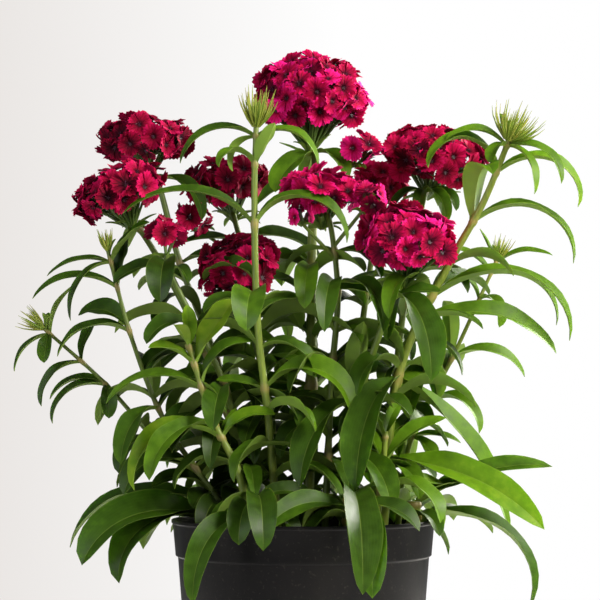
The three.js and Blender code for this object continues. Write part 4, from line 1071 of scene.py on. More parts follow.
@dataclass(frozen=True)
class PeatCrumb(Finish):
    """Moist peat and composted bark: dark, matt and crumbly."""

    shades: tuple[str, ...] = ("#130c07", "#2c1c11", "#4b3421")

    def shade(self, tree: bpy.types.NodeTree, shader: Any) -> None:
        """Builds the nodes that feed the Principled shader."""
        coords = add_node(tree, "TexCoord")
        clods = grain(tree, coords.outputs["Object"], 4.0, 8.0)
        body = ramp(tree, clods, list(zip((0.3, 0.55, 0.8), self.shades)))
        bump = add_node(tree, "Bump", {"Height": clods, "Strength": 0.9, "Distance": 1.0 * MM})
        wire(tree, shader, Base_Color=body, Roughness=0.92, Normal=bump.outputs["Normal"])


@dataclass(frozen=True)
class ExpandedPerlite(Finish):
    """Volcanic glass popped by heat: light, white and chalky crumbs among the peat."""

    colour: str = "#e2ddd2"

    def shade(self, tree: bpy.types.NodeTree, shader: Any) -> None:
        """Builds the nodes that feed the Principled shader."""
        coords = add_node(tree, "TexCoord")
        pores = grain(tree, coords.outputs["Object"], 0.8, 4.0)
        body = blend(tree, remap(tree, pores, 0.35, 0.65, 0.0, 0.35), linear(self.colour), linear("#8d8476"))
        wire(tree, shader, Base_Color=body, Roughness=0.85)


LEAF_SKIN = WaxyLeaf("waxy_dianthus_leaf")
STEM_SKIN = StemSkin("waxy_dianthus_stem")
BUD_SCALE = BudScale("papery_bud_scale")
CALYX = RibbedCalyx("ribbed_maroon_calyx_painted_shade")
CRIMSON_PETAL = VelvetPetal("velvety_crimson_petal")
MAGENTA_PETAL = VelvetPetal("velvety_magenta_petal", dark="#4c001c", body="#a20036", pink="#e81c84")
ANTHER = DuskyAnther("dusky_violet_anther")
POT_PLASTIC = MouldedPolypropylene("moulded_black_polypropylene")
PEAT = PeatCrumb("moist_peat_and_bark")
PERLITE = ExpandedPerlite("expanded_perlite")


# ---------------------------------------------------------------- unit shapes and meshes grown from them

CREASE_ANGLE = 30.5  # two faces that meet at more than this are shaded with a crease, in degrees
FLOATS = ("tone", "under", "joint")  # the attributes that the finishes read, on every corner of a mesh


def with_layers(bm: bmesh.types.BMesh) -> Any:
    """Gives a bmesh the attributes that the finishes read.

    Args:
        bm: The bmesh.

    Returns:
        Its UV layer.
    """
    for name in FLOATS:
        bm.verts.layers.float.new(name)
    return bm.loops.layers.uv.new("grain")


def kept_as_mesh(bm: bmesh.types.BMesh, name: str) -> bpy.types.Mesh:
    """Turns a bmesh into a mesh and frees it."""
    mesh = bpy.data.meshes.new(name)
    bm.to_mesh(mesh)
    bm.free()
    return mesh


def unit_sheet(name: str, across: int, along: int) -> bpy.types.Mesh:
    """A closed thin sheet over -1 to 1 across and -1 to 1 along, its upper face at 0 and its lower at -1.

    Args:
        name: The mesh's name.
        across: How many faces it has from side to side.
        along: How many faces it has from root to tip.

    Returns:
        The sheet, with its place as UVs and its lower corners marked as under.
    """
    bm = bmesh.new()
    grid = with_layers(bm)
    bmesh.ops.create_grid(bm, x_segments=across, y_segments=along, size=1)
    bmesh.ops.solidify(bm, geom=bm.faces[:], thickness=1.0)
    under = bm.verts.layers.float["under"]
    for vert in bm.verts:
        vert[under] = 1.0 if vert.co.z < -0.5 else 0.0
    for face in bm.faces:
        for loop in face.loops:
            loop[grid].uv = (loop.vert.co.x / 2 + 0.5, loop.vert.co.y / 2 + 0.5)
    return kept_as_mesh(bm, name)


def unit_tube(name: str, sides: int, rings: int) -> bpy.types.Mesh:
    """A closed round tube of radius 1 from -0.5 to 0.5 along Z.

    Args:
        name: The mesh's name.
        sides: How many faces it has round.
        rings: How many faces it has from end to end.

    Returns:
        The tube.
    """
    bm = bmesh.new()
    with_layers(bm)
    bmesh.ops.create_cone(bm, cap_ends=True, segments=sides, radius1=1, radius2=1, depth=1)
    if rings > 1:
        lengthwise = [e for e in bm.edges if abs(e.verts[0].co.z - e.verts[1].co.z) > 0.5]
        bmesh.ops.subdivide_edges(bm, edges=lengthwise, cuts=rings - 1, use_grid_fill=True)
    return kept_as_mesh(bm, name)


def unit_crumb(name: str) -> bpy.types.Mesh:
    """A small faceted ball of radius 1."""
    bm = bmesh.new()
    with_layers(bm)
    bmesh.ops.create_icosphere(bm, subdivisions=1, radius=1)
    return kept_as_mesh(bm, name)


class Growth:
    """A mesh that shapes are added to one after another, in millimetres."""

    def __init__(self) -> None:
        """Starts an empty mesh."""
        self.bm = bmesh.new()
        with_layers(self.bm)

    def add(
        self, shape: bpy.types.Mesh, place: Optional[Place] = None, tone: Any = 0.5, finish: int = 0
    ) -> None:
        """Adds a copy of a unit shape.

        Args:
            shape: The unit shape.
            place: Where each of its corners goes, or None to leave them.
            tone: The tone attribute: a number, or a function of the corner's place in the unit shape. None
                keeps what the shape has.
            finish: The index of the finish that its faces take.
        """
        old_verts, old_faces = len(self.bm.verts), len(self.bm.faces)
        self.bm.from_mesh(shape)
        self.bm.verts.ensure_lookup_table()
        self.bm.faces.ensure_lookup_table()
        layer = self.bm.verts.layers.float["tone"]
        for i in range(old_verts, len(self.bm.verts)):
            vert = self.bm.verts[i]
            if tone is not None:
                vert[layer] = tone(vert.co) if callable(tone) else tone
            if place:
                vert.co = place(vert.co)
        for i in range(old_faces, len(self.bm.faces)):
            self.bm.faces[i].material_index += finish

    def finished(
        self, name: str, finishes: Sequence[Finish], slot: str, replaces: Sequence[str]
    ) -> bpy.types.Object:
        """Turns what has grown into a finished piece of the object.

        Args:
            name: The piece's name.
            finishes: Its finishes, in the order of their indexes.
            slot: The record's material slot; not used.
            replaces: The CAD nodes that it stands for.

        Returns:
            The piece, in metres and riding on the plant's one body.
        """
        bmesh.ops.remove_doubles(self.bm, verts=self.bm.verts, dist=0.002)
        bmesh.ops.scale(self.bm, vec=(MM, MM, MM), verts=self.bm.verts)
        piece = bpy.data.objects.new(name, kept_as_mesh(self.bm, name))
        bpy.context.scene.collection.objects.link(piece)
        piece.data.shade_smooth()
        piece.data.set_sharp_from_angle(angle=math.radians(CREASE_ANGLE))
        for finish in finishes:
            piece.data.materials.append(finish.material())
        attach(piece, "root")
        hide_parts(*replaces)
        triangles = sum(len(p.vertices) - 2 for p in piece.data.polygons)
        LOG.info("%s stands for %s: %d triangles", name, ", ".join(replaces), triangles)
        return piece


class Shapes:
    """The unit shapes that the plant is grown from."""

    def __init__(self) -> None:
        """Makes each of them once."""
        self.blade = unit_sheet("unit_blade", BLADE.across, BLADE.along)
        self.petal = unit_sheet("unit_petal", FLORET.across, FLORET.along)
        self.stem = unit_tube("unit_stem", 16, 90)
        self.tube = unit_tube("unit_tube", 7, 3)
        self.spike = unit_tube("unit_spike", 4, 3)
        self.crumb = unit_crumb("unit_crumb")


# ---------------------------------------------------------------- leaves, stems and bristles


def blade_place(leaf: Leaf, root: Vector, seed: float) -> Place:
    """How a unit sheet is laid out as a leaf's channelled, slightly ruffled blade.

    Args:
        leaf: The leaf.
        root: The point of the stem that it grows from.
        seed: What its ruffle and twist are drawn from.

    Returns:
        The function from a corner of the unit sheet to a point of the plant.
    """
    twist = (draw(seed, 1) - 0.5) * 2 * BLADE.twist
    frames = [leaf.frame_at(root, i / BLADE.along, twist) for i in range(BLADE.along + 1)]
    waves = [(mix(1.2, 2.6, draw(seed, 2 + i)), draw(seed, 4 + i) * math.tau) for i in range(2)]

    def place(corner: Vector) -> Vector:
        """Puts one corner of the unit sheet in its place."""
        share = (corner.y + 1) / 2
        point, side, normal = frames[round(share * BLADE.along)]
        half = leaf.half_width(share) if share < 0.999 else 0.0
        edge = abs(corner.x)
        fold = math.radians(mix(BLADE.fold_at_root, BLADE.fold_at_tip, share))
        rise = half * math.sin(fold) * (BLADE.straight * edge + BLADE.curl * edge * edge)
        count, phase = waves[corner.x > 0]
        ruffle = leaf.width * BLADE.ruffle * math.sin(math.tau * count * share + phase)
        rise += ruffle * edge * edge * math.sin(math.pi * share)
        if corner.z < -0.5:
            keel = BLADE.keel * math.exp(-((edge / BLADE.rib_width) ** 2)) * (1 - share * 0.7)
            rise -= mix(BLADE.thickness, BLADE.margin_thickness, edge) * mix(1.0, 0.4, share) + keel
        else:
            rise -= BLADE.groove * math.exp(-((edge / BLADE.rib_width) ** 2)) * (1 - share)
        return point + side * (corner.x * half * math.cos(fold)) + normal * rise

    return place


def along_route(
    route: Route, radius: Callable[[float], float], start: float = 0.0, end: float = 1.0
) -> Place:
    """How a unit tube is laid along a curve.

    Args:
        route: The curve.
        radius: The tube's radius at a share of the curve.
        start: The share at which the tube starts.
        end: The share at which it ends.

    Returns:
        The function from a corner of the unit tube to a point of the plant.
    """
    sideways = Vector((0, 1, 0))
    rings: dict[float, tuple[Vector, Vector, Vector, float]] = {}

    def place(corner: Vector) -> Vector:
        """Puts one corner of the unit tube in its place."""
        share = round(mix(start, end, corner.z + 0.5), 5)
        if share not in rings:
            tangent = route.tangent(share)
            side = tangent.cross(sideways).normalized()
            rings[share] = (route.point(share), side, side.cross(tangent), radius(share))
        point, side, front, size = rings[share]
        return point - side * (corner.x * size) + front * (corner.y * size)

    return place


def spike_place(start: Vector, end: Vector, radius: float, tip: float, bow: Vector = Vector()) -> Place:
    """How a unit tube becomes a straight or bowed spike.

    Args:
        start: The middle of its root.
        end: The middle of its tip.
        radius: Its radius at the root.
        tip: Its radius at the tip.
        bow: How far its middle bends aside.

    Returns:
        The function from a corner of the unit tube to a point of the plant.
    """
    axes = axes_along(end - start)

    def place(corner: Vector) -> Vector:
        """Puts one corner of the unit tube in its place."""
        share = corner.z + 0.5
        size = mix(radius, tip, share**1.5)
        middle = start.lerp(end, share) + bow * (4 * share * (1 - share))
        return middle + axes.across * (corner.x * size) + axes.second * (corner.y * size)

    return place


class CadNode:
    """The corners of a CAD node's solid, which tell how each of its leaves was bent clear."""

    def __init__(self, name: str) -> None:
        """Reads the node's corners.

        Args:
            name: The node.
        """
        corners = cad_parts[name].data.vertices
        self.tree = kdtree.KDTree(len(corners))
        for i, corner in enumerate(corners):
            self.tree.insert(corner.co / MM, i)
        self.tree.balance()

    def has(self, point: Vector, within: float) -> bool:
        """Whether the solid has a corner near a point."""
        return self.tree.find(point)[2] < within

    def bent(self, leaf: Leaf, root: Vector) -> Optional[Leaf]:
        """The leaf as the solid has it.

        Args:
            leaf: The leaf as it was planned.
            root: The point that it grows from.

        Returns:
            The leaf, turned and shortened as it is in the solid, or None if it isn't found there.
        """
        for shorter in (1.0, 0.8, 0.6):
            for turn, lift in NUDGES:
                tried = leaf.nudged(turn, lift, shorter)
                ring = 0.78 if leaf.length * shorter > 66 else 0.66
                if self.has(tried.frame_at(root, 1.0).point, 0.7) and self.has(
                    tried.frame_at(root, ring).point, 2.2
                ):
                    return tried
        return None


@dataclass(frozen=True)
class Infill:
    """The rule for the inner leaves that make the plant dense between its outer ones."""

    lowest: float = 150.0
    below_top: float = 62.0
    highest: float = 318.0
    spacing: float = 22.0
    length: tuple[float, float] = (44.0, 72.0)
    width: tuple[float, float] = (13.0, 20.0)
    reach: float = 150.0


INFILL = Infill()


class LeafyStem:
    """A stem or rosette with its leaves, bud tuft, and the green parts under its heads."""

    def __init__(self, plan: Stem, shapes: Shapes) -> None:
        """Reads the plan.

        Args:
            plan: The stem's plan.
            shapes: The unit shapes to grow it from.
        """
        self.plan = plan
        self.shapes = shapes
        self.route = plan.route()
        self.growth = Growth()
        self.seed = sum(ord(letter) * (i + 1) for i, letter in enumerate(plan.name)) % 997
        self.lost = 0
        self.leaves = 0

    def base_tone(self, x: float) -> float:
        """The shade that leaves at a place take: yellower on bright stems, and to the right as painted light.
        """
        own = FOLIAGE.bright if self.plan.tone is Tone.BRIGHT else FOLIAGE.deep
        return own + FOLIAGE.painted_light_to_right * clamp01((x + 100) / 250) - FOLIAGE.offset

    def grow_stem(self) -> None:
        """Adds the stem itself, swollen and tinted at its joints."""
        joints = [self.route.share_at(joint.height) for joint in self.plan.joints]
        length = sum(
            (self.route.point(i / 40) - self.route.point((i + 1) / 40)).length for i in range(40)
        )
        low, high = self.plan.radii

        def swelling(share: float) -> float:
            """How near a share of the stem is to a joint, from 0 to 1."""
            near = (math.exp(-(((share - j) * length / JOINTS.length) ** 2)) for j in joints)
            return max(near, default=0.0)

        def radius(share: float) -> float:
            """The stem's radius at a share of it."""
            return mix(low, high, share) * (1 + JOINTS.swell * swelling(share))

        first = len(self.growth.bm.verts)
        self.growth.add(
            self.shapes.stem,
            along_route(self.route, radius),
            lambda corner: self.base_tone(self.route.point(corner.z + 0.5).x) + 0.12,
            1,
        )
        layer = self.growth.bm.verts.layers.float["joint"]
        for i in range(first, len(self.growth.bm.verts)):
            vert = self.growth.bm.verts[i]
            in_plan = vert.co.z < self.plan.path[-1][2]
            vert[layer] = swelling(self.route.share_at(vert.co.z)) if in_plan else 0.0

    def grow_leaf(self, leaf: Leaf, root: Vector, tone: float) -> None:
        """Adds one leaf.

        Args:
            leaf: The leaf.
            root: The point that it grows from.
            tone: Its shade.
        """
        self.leaves += 1
        seed = self.seed + self.leaves * 1.37
        level = clamp01(tone + (draw(seed, 9) - 0.5) * FOLIAGE.spread)
        self.growth.add(
            self.shapes.blade,
            blade_place(leaf, root, seed),
            lambda corner: level + FOLIAGE.to_tip * corner.y,
            0,
        )

    def grow_leaves(self) -> None:
        """Adds the leaves of the plan, each as its CAD solid has it."""
        node = CadNode(self.plan.name)
        for joint in self.plan.joints:
            root = self.route.point(self.route.share_at(joint.height))
            for leaf in joint.leaves:
                bent = node.bent(leaf, root)
                self.lost += bent is None
                bent = bent or leaf
                tip = bent.frame_at(root, 0.6).point
                tone = leaf.shade if leaf.shade is not None else self.base_tone(tip.x)
                self.grow_leaf(bent, root, tone)

    def grow_infill(self) -> None:
        """Adds the inner leaves, in opposite pairs, each pair at right angles to the last."""
        if self.plan.name.startswith("rosette"):
            return
        top = min(self.plan.path[-1][2] - INFILL.below_top, INFILL.highest)
        height = INFILL.lowest + 14 * draw(self.seed, 31)
        quarter = 0
        while height < top:
            root = self.route.point(self.route.share_at(height))
            start = 30 + 60 * draw(self.seed, height) + 90 * quarter
            for side in (0, 180):
                pick = height + side
                leaf = Leaf(
                    azimuth=start + side + 20 * (draw(self.seed, pick + 3) - 0.5),
                    length=mix(*INFILL.length, draw(self.seed, pick + 5)),
                    width=mix(*INFILL.width, draw(self.seed, pick + 7)),
                    rise=mix(30, 62, draw(self.seed, pick + 11)),
                    fall=mix(-40, -95, draw(self.seed, pick + 13)),
                    roll=mix(-30, 30, draw(self.seed, pick + 17)),
                )
                tip = leaf.frame_at(root, 1.0).point
                if abs(tip.x) < INFILL.reach and tip.y > -70:
                    # The inner leaves are darkened with painted shade, where the outer foliage shades them.
                    self.grow_leaf(leaf, root, self.base_tone(tip.x) - FOLIAGE.inner_painted_shade)
            height += INFILL.spacing * mix(0.85, 1.15, draw(self.seed, height + 19))
            quarter += 1

    def grow_tuft(self) -> None:
        """Adds the bristly tuft of buds at the stem's end, with the small upright leaves that sheathe it."""
        tuft = self.plan.tuft
        if tuft is None:
            return
        axes = axes_along(tuft.lean)
        end = self.route.point(1.0)
        bristles = tuft.count * TUFTS.crowding
        for i in range(bristles):
            lean = math.sqrt((i + 0.5) / bristles) * math.radians(tuft.spread)
            turn = i * GOLDEN_ANGLE + math.radians(draw(tuft.seed, i) * 20)
            length = tuft.length * mix(*TUFTS.bristle_length, draw(tuft.seed, i + 50))
            out = axes.across * math.cos(turn) + axes.second * math.sin(turn)
            root = end + out * (math.sin(lean) * tuft.core * 0.5)
            tip = end + out * (math.sin(lean) * length) + axes.along * (math.cos(lean) * length)
            bow = out * (TUFTS.bow * length * math.sin(lean))
            tone = mix(0.05, 0.5, draw(tuft.seed, i + 90))
            radius = mix(*TUFTS.bristle_radius, draw(tuft.seed, i + 70))
            self.growth.add(
                self.shapes.spike,
                spike_place(root, tip, radius, TUFTS.bristle_tip, bow),
                lambda corner, level=tone: level + 0.6 * max(corner.z, 0.0),
                2,
            )
        for i in range(TUFTS.sheaths):
            turn = i * math.tau / TUFTS.sheaths
            out = axes.across * math.cos(turn) + axes.second * math.sin(turn)
            sheath = Leaf(
                azimuth=math.degrees(math.atan2(out.y, out.x)),
                length=tuft.length * mix(*TUFTS.sheath_length, draw(tuft.seed, i + 120)),
                width=tuft.length * TUFTS.sheath_width,
                rise=80,
                fall=mix(50, 66, draw(tuft.seed, i + 130)),
            )
            self.grow_leaf(sheath, end - axes.along * 2, self.base_tone(end.x) + 0.12)

    def grow_under(self, head: Head) -> None:
        """Adds the green parts under a head: the calyx and stalk of each floret, and the awl-shaped bracts.

        Args:
            head: The head that they carry.
        """
        foot = head.foot(head.calyx_depth())
        for i, floret in enumerate(head.floret_places()):
            throat = floret.centre - floret.facing * FLORET.throat_depth
            calyx_end = throat - floret.facing * FLORET.calyx_length
            reach = (throat - foot).length
            if reach < FLORET.calyx_length * 1.3:
                calyx_end = throat.lerp(foot, 0.75)
            calyx_end = calyx_end.lerp(throat.lerp(foot, 0.6), 0.5)
            # The calyx darkens up to its throat: its own maroon, deepened to near black as painted shade
            # between the florets.
            self.growth.add(
                self.shapes.tube,
                spike_place(calyx_end, throat, 1.1, FLORET.calyx_radius),
                lambda corner: 0.55 + 0.45 * corner.z / 0.5,
                3,
            )
            self.growth.add(self.shapes.spike, spike_place(foot, calyx_end, 0.9, 0.8), 0.1, 3)
            for k in range(UNDER.scales):
                out = Vector([draw(head.seed, i * 7 + k * 3 + step) - 0.5 for step in (900, 901, 902)])
                tip = throat.lerp(calyx_end, 0.15) + out * UNDER.scale_reach
                self.growth.add(
                    self.shapes.spike,
                    spike_place(calyx_end, tip, 0.7, 0.1),
                    lambda corner: 0.2 + 0.6 * max(corner.z, 0.0),
                    3,
                )
        bracts = UNDER.bracts_if_wide if head.across > UNDER.wide else UNDER.bracts
        axes = axes_along(head.lean)
        for i in range(bracts):
            turn = (i + draw(head.seed, i + 400) * 0.6) * math.tau / bracts
            out = axes.across * math.cos(turn) + axes.second * math.sin(turn)
            leaf = Leaf(
                azimuth=math.degrees(math.atan2(out.y, out.x)),
                length=head.across * 0.5 + 9 * draw(head.seed, i + 440),
                width=mix(*UNDER.bract_width, draw(head.seed, i + 450)),
                rise=mix(25, 60, draw(head.seed, i + 430)),
                fall=mix(-60, 20, draw(head.seed, i + 435)),
            )
            self.grow_leaf(leaf, foot, self.base_tone(foot.x) - 0.05)

    def grow_side_stalk(self, head: Head) -> None:
        """Adds the short stalk of a side head."""
        end = head.foot(head.calyx_depth() / 2)
        start = self.route.point(self.route.share_at(end.z - 22))
        self.growth.add(self.shapes.tube, spike_place(start, end, 1.3, 1.1), 0.4, 1)

    def build(self) -> bpy.types.Object:
        """Grows all of the stem.

        Returns:
            The finished piece.
        """
        self.grow_stem()
        self.grow_leaves()
        self.grow_infill()
        self.grow_tuft()
        for i, head in enumerate(self.plan.heads):
            if i > 0:
                self.grow_side_stalk(head)
            self.grow_under(head)
        if self.lost:
            LOG.warning("%s: %d leaves weren't found in the CAD solid", self.plan.name, self.lost)
        return self.growth.finished(
            "dressed_" + self.plan.name,
            (LEAF_SKIN, STEM_SKIN, BUD_SCALE, CALYX),
            self.plan.tone.value,
            (self.plan.name,),
        )


# ---------------------------------------------------------------- flower heads


class FloretForm:
    """One of the few shapes of floret that all heads are set with."""

    def __init__(self, shapes: Shapes, seed: int) -> None:
        """Grows the floret at radius 1, facing +Z.

        Args:
            shapes: The unit shapes to grow it from.
            seed: What makes this form unlike the others.
        """
        growth = Growth()
        turn = math.tau / FLORET.petals
        for i in range(FLORET.petals):
            growth.add(shapes.petal, self.petal_place(i * turn, seed * 10 + i), None)
        for i in range(3):
            angle = (i + draw(seed, i)) * math.tau / 3
            lean = 0.04 + 0.12 * draw(seed, i + 5)
            root = Vector((0, 0, -FLORET.throat_depth / FLORET.radius))
            reach = FLORET.stamen_length / FLORET.radius
            tip = root + Vector((math.cos(angle) * lean, math.sin(angle) * lean, reach))
            growth.add(shapes.spike, spike_place(root, tip, 0.016, 0.012), None, 1)
            size = FLORET.anther / FLORET.radius
            growth.add(shapes.crumb, lambda corner, end=tip: end + corner * size, None, 1)
        self.mesh = kept_as_mesh(growth.bm, f"floret_form_{seed}")

    @staticmethod
    def petal_place(turn: float, seed: float) -> Place:
        """How a unit sheet becomes one toothed petal.

        Args:
            turn: The petal's angle about the floret, in radians.
            seed: What its ruffle is drawn from.

        Returns:
            The function from a corner of the unit sheet to a point of the unit floret.
        """
        length = mix(0.9, 1.06, draw(seed, 1))
        lift = mix(-0.1, 0.2, draw(seed, 2))
        ruffle = mix(0.03, 0.1, draw(seed, 3))
        phase = draw(seed, 4) * math.tau
        swing = (draw(seed, 5) - 0.5) * 0.16
        depth = FLORET.throat_depth / FLORET.radius

        def place(corner: Vector) -> Vector:
            """Puts one corner of the unit sheet in its place."""
            share = (corner.y + 1) / 2
            spread = math.radians(mix(FLORET.claw_angle, FLORET.petal_angle, clamp01(share * 1.7)))
            angle = turn + swing + corner.x * spread
            tooth = (-1) ** round((corner.x + 1) / 2 * FLORET.across) * FLORET.teeth if share > 0.99 else 0.0
            rounded = 1 - FLORET.shoulder * abs(corner.x) ** 3 * share
            reach = mix(FLORET.claw, length, share) * rounded + tooth
            height = -depth * (1 - share) ** 3 + lift * share * share
            height += ruffle * math.sin(corner.x * 4.2 + phase) * share + 0.09 * corner.x * share
            if corner.z < -0.5:
                height -= FLORET.thickness / FLORET.radius * mix(1.0, 0.6, share)
            return Vector((math.cos(angle) * reach, math.sin(angle) * reach, height))

        return place


class FlowerHead:
    """The petals of one domed head."""

    def __init__(self, head: Head, petals: Petals, forms: Sequence[FloretForm]) -> None:
        """Reads the head's plan.

        Args:
            head: The plan.
            petals: Which red its petals are.
            forms: The shapes of floret to set it with.
        """
        self.head = head
        self.petals = petals
        self.forms = forms

    def build(self) -> bpy.types.Object:
        """Sets the florets on the dome.

        Returns:
            The finished piece.
        """
        growth = Growth()
        magenta = self.petals is Petals.MAGENTA
        for i, floret in enumerate(self.head.floret_places()):
            form = self.forms[int(draw(self.head.seed, i + 77) * len(self.forms))]
            axes = axes_along(floret.facing)
            turn = Matrix((axes.across, axes.second, axes.along)).transposed()
            size = turn @ Matrix.Rotation(floret.spin, 3, "Z") @ Matrix.Scale(floret.radius, 3)
            # lit is a painted highlight on florets that face right; heads to the left are darkened with
            # painted shade.
            lit = HEADS.lit * clamp01((floret.facing.x + 0.6) / 1.6)
            out_of_left_shade = clamp01(1.0 + self.head.centre[0] / HEADS.left_shade_reach)
            own = mix(0.0, HEADS.palest, floret.tone**HEADS.falloff)
            level = (own + lit) * mix(HEADS.left_painted_shade, 1.0, out_of_left_shade)
            growth.add(form.mesh, lambda corner, m=size, c=floret.centre: c + m @ corner, level)
        finish = MAGENTA_PETAL if magenta else CRIMSON_PETAL
        return growth.finished(
            "petals_of_" + self.head.name, (finish, ANTHER), self.petals.value, (self.head.name,)
        )


# ---------------------------------------------------------------- pot and potting mix


@dataclass(frozen=True)
class PotSizes:
    """The nursery pot, in millimetres."""

    height: float = 150.0
    rim_radius: float = 85.5
    lip_height: float = 2.6
    band_top_radius: float = 84.6
    band_bottom_radius: float = 82.8
    band_height: float = 23.0
    shoulder_radius: float = 81.2
    base_radius: float = 71.0
    wall: float = 2.0
    floor: float = 2.6
    steps: int = 144
    hole_radius: float = 4.5
    hole_ring: float = 56.0
    holes: int = 6


POT = PotSizes()


def spun(profile: Sequence[tuple[float, float]], steps: int) -> bmesh.types.BMesh:
    """Spins an outline of (radius, height) points, which starts and ends on the axis, into a closed body.

    Args:
        profile: The outline, from the bottom middle outward and up to the top middle.
        steps: How many faces it has round.

    Returns:
        The body.
    """
    bm = bmesh.new()
    with_layers(bm)
    verts = [bm.verts.new((radius, 0.0, height)) for radius, height in profile]
    edges = [bm.edges.new(pair) for pair in zip(verts, verts[1:])]
    bmesh.ops.spin(
        bm, geom=verts + edges, axis=(0, 0, 1), cent=(0, 0, 0), angle=math.tau, steps=steps, use_merge=True
    )
    bmesh.ops.remove_doubles(bm, verts=bm.verts, dist=0.001)
    bmesh.ops.recalc_face_normals(bm, faces=bm.faces)
    return bm


class NurseryPot:
    """The black nursery pot: a tapered wall, a deep band with a rolled lip, and a floor with drain holes."""

    def build(self) -> bpy.types.Object:
        """Spins the pot, softens its edges and drills it.

        Returns:
            The finished piece.
        """
        band_foot = POT.height - POT.band_height
        lip_foot = POT.height - POT.lip_height
        inner_shoulder = POT.shoulder_radius - POT.wall
        profile = [
            (0, 1.2), (POT.base_radius - 9, 1.2), (POT.base_radius - 7, 0), (POT.base_radius, 0),
            (POT.shoulder_radius, band_foot - 1), (POT.band_bottom_radius, band_foot),
            (POT.band_bottom_radius + 0.1, band_foot + 2.0), (POT.band_top_radius, lip_foot),
            (POT.rim_radius, lip_foot + 0.5), (POT.rim_radius, POT.height),
            (POT.rim_radius - POT.wall, POT.height), (POT.band_bottom_radius - POT.wall, band_foot + 2),
            (inner_shoulder, band_foot - 1), (POT.base_radius - POT.wall, POT.floor), (0, POT.floor),
        ]
        bm = spun(profile, POT.steps)
        corners = [
            edge for edge in bm.edges
            if abs(edge.verts[0].co.z - edge.verts[1].co.z) < 1e-4
            and edge.verts[0].co.xy.length > POT.base_radius - 10
            and edge.calc_face_angle(0.0) > math.radians(12)
            and abs(edge.verts[0].co.xy.length - edge.verts[1].co.xy.length) < 1e-3
        ]
        bmesh.ops.bevel(bm, geom=corners, offset=0.45, segments=3, profile=0.5, affect="EDGES", material=-1)
        growth = Growth()
        growth.add(kept_as_mesh(bm, "turned_pot"), tone=None)
        pot = growth.finished("nursery_pot", (POT_PLASTIC,), "pot", ("pot",))
        self.drill(pot)
        return pot

    @staticmethod
    def drill(pot: bpy.types.Object) -> None:
        """Cuts the drain holes through the pot's floor.

        Args:
            pot: The pot.
        """
        bm = bmesh.new()
        for i in range(POT.holes):
            angle = (i + 0.5) / POT.holes * math.tau
            place = Matrix.Translation(
                (math.cos(angle) * POT.hole_ring * MM, math.sin(angle) * POT.hole_ring * MM, 0)
            )
            bmesh.ops.create_cone(
                bm, cap_ends=True, segments=24, radius1=POT.hole_radius * MM, radius2=POT.hole_radius * MM,
                depth=POT.floor * 4 * MM, matrix=place,
            )
        cutter = bpy.data.objects.new("drill", kept_as_mesh(bm, "drill"))
        bpy.context.scene.collection.objects.link(cutter)
        cut = pot.modifiers.new("drain_holes", "BOOLEAN")
        cut.object = cutter
        cut.solver = "EXACT"
        depsgraph = bpy.context.evaluated_depsgraph_get()
        drilled = bpy.data.meshes.new_from_object(pot.evaluated_get(depsgraph))
        pot.modifiers.clear()
        pot.data = drilled
        bpy.data.objects.remove(cutter)


@dataclass(frozen=True)
class SoilSizes:
    """The potting mix, in millimetres."""

    level: float = 138.0
    clear: float = 0.3
    mound: float = 1.6
    rings: int = 26
    steps: int = 120
    crumbs: int = 420
    perlite: int = 46


SOIL = SoilSizes()


class PottingMix:
    """The potting mix: a crumbly top of peat and bark with white grains of perlite."""

    def __init__(self, shapes: Shapes) -> None:
        """Keeps the unit shapes.

        Args:
            shapes: The unit shapes, of which it takes the crumb.
        """
        self.shapes = shapes

    @staticmethod
    def surface(x: float, y: float) -> float:
        """The height of the crumbly top at a place."""
        broad = SOIL.mound * math.sin(x * 0.21) * math.cos(y * 0.17 + 1)
        return SOIL.level + broad + 1.3 * noise.noise(Vector((x, y, 0)) * 0.35)

    def build(self) -> bpy.types.Object:
        """Spins the body, roughens its top and strews it with crumbs.

        Returns:
            The finished piece.
        """
        slope = (POT.shoulder_radius - POT.base_radius) / (POT.height - POT.band_height)
        foot = POT.floor + SOIL.clear
        shoulder = POT.height - POT.band_height - 3
        low = POT.base_radius + slope * foot - POT.wall - SOIL.clear
        high = POT.base_radius + slope * shoulder - POT.wall - SOIL.clear
        profile = [(0, foot), (low, foot), (high, shoulder), (high, SOIL.level - 2)]
        profile += [(high * ring / SOIL.rings, SOIL.level) for ring in range(SOIL.rings, -1, -1)]
        bm = spun(profile, SOIL.steps)
        for vert in bm.verts:
            if vert.co.z > SOIL.level - 0.5:
                vert.co.z = self.surface(vert.co.x, vert.co.y)
        growth = Growth()
        growth.add(kept_as_mesh(bm, "turned_soil"), tone=None)
        for i in range(SOIL.crumbs):
            is_perlite = i < SOIL.perlite
            away = math.sqrt(draw(5, i)) * (high - 2)
            angle = i * GOLDEN_ANGLE
            x, y = math.cos(angle) * away, math.sin(angle) * away
            size = mix(0.8, 1.7, draw(6, i)) if is_perlite else mix(0.8, 2.6, draw(7, i) ** 2)
            flat = Vector((1.0, mix(0.5, 1.0, draw(8, i)), mix(0.35, 0.8, draw(9, i))))
            spin = Matrix.Rotation(draw(10, i) * math.tau, 3, "Z") @ Matrix.Rotation(draw(11, i), 3, "X")
            middle = Vector((x, y, self.surface(x, y) + size * 0.2))
            growth.add(
                self.shapes.crumb,
                lambda corner, s=size, f=flat, r=spin, m=middle: m + r @ (corner * s * f),
                0.5,
                1 if is_perlite else 0,
            )
        return growth.finished("potting_mix", (PEAT, PERLITE), "soil", ("soil",))


# ---------------------------------------------------------------- studio


@dataclass(frozen=True)
class Lamp:
    """A soft square light: where it hangs, the point it shines at, its side, its watts and its colour."""

    name: str
    place: Point
    aim: Point
    size: float
    power: float
    tint: str


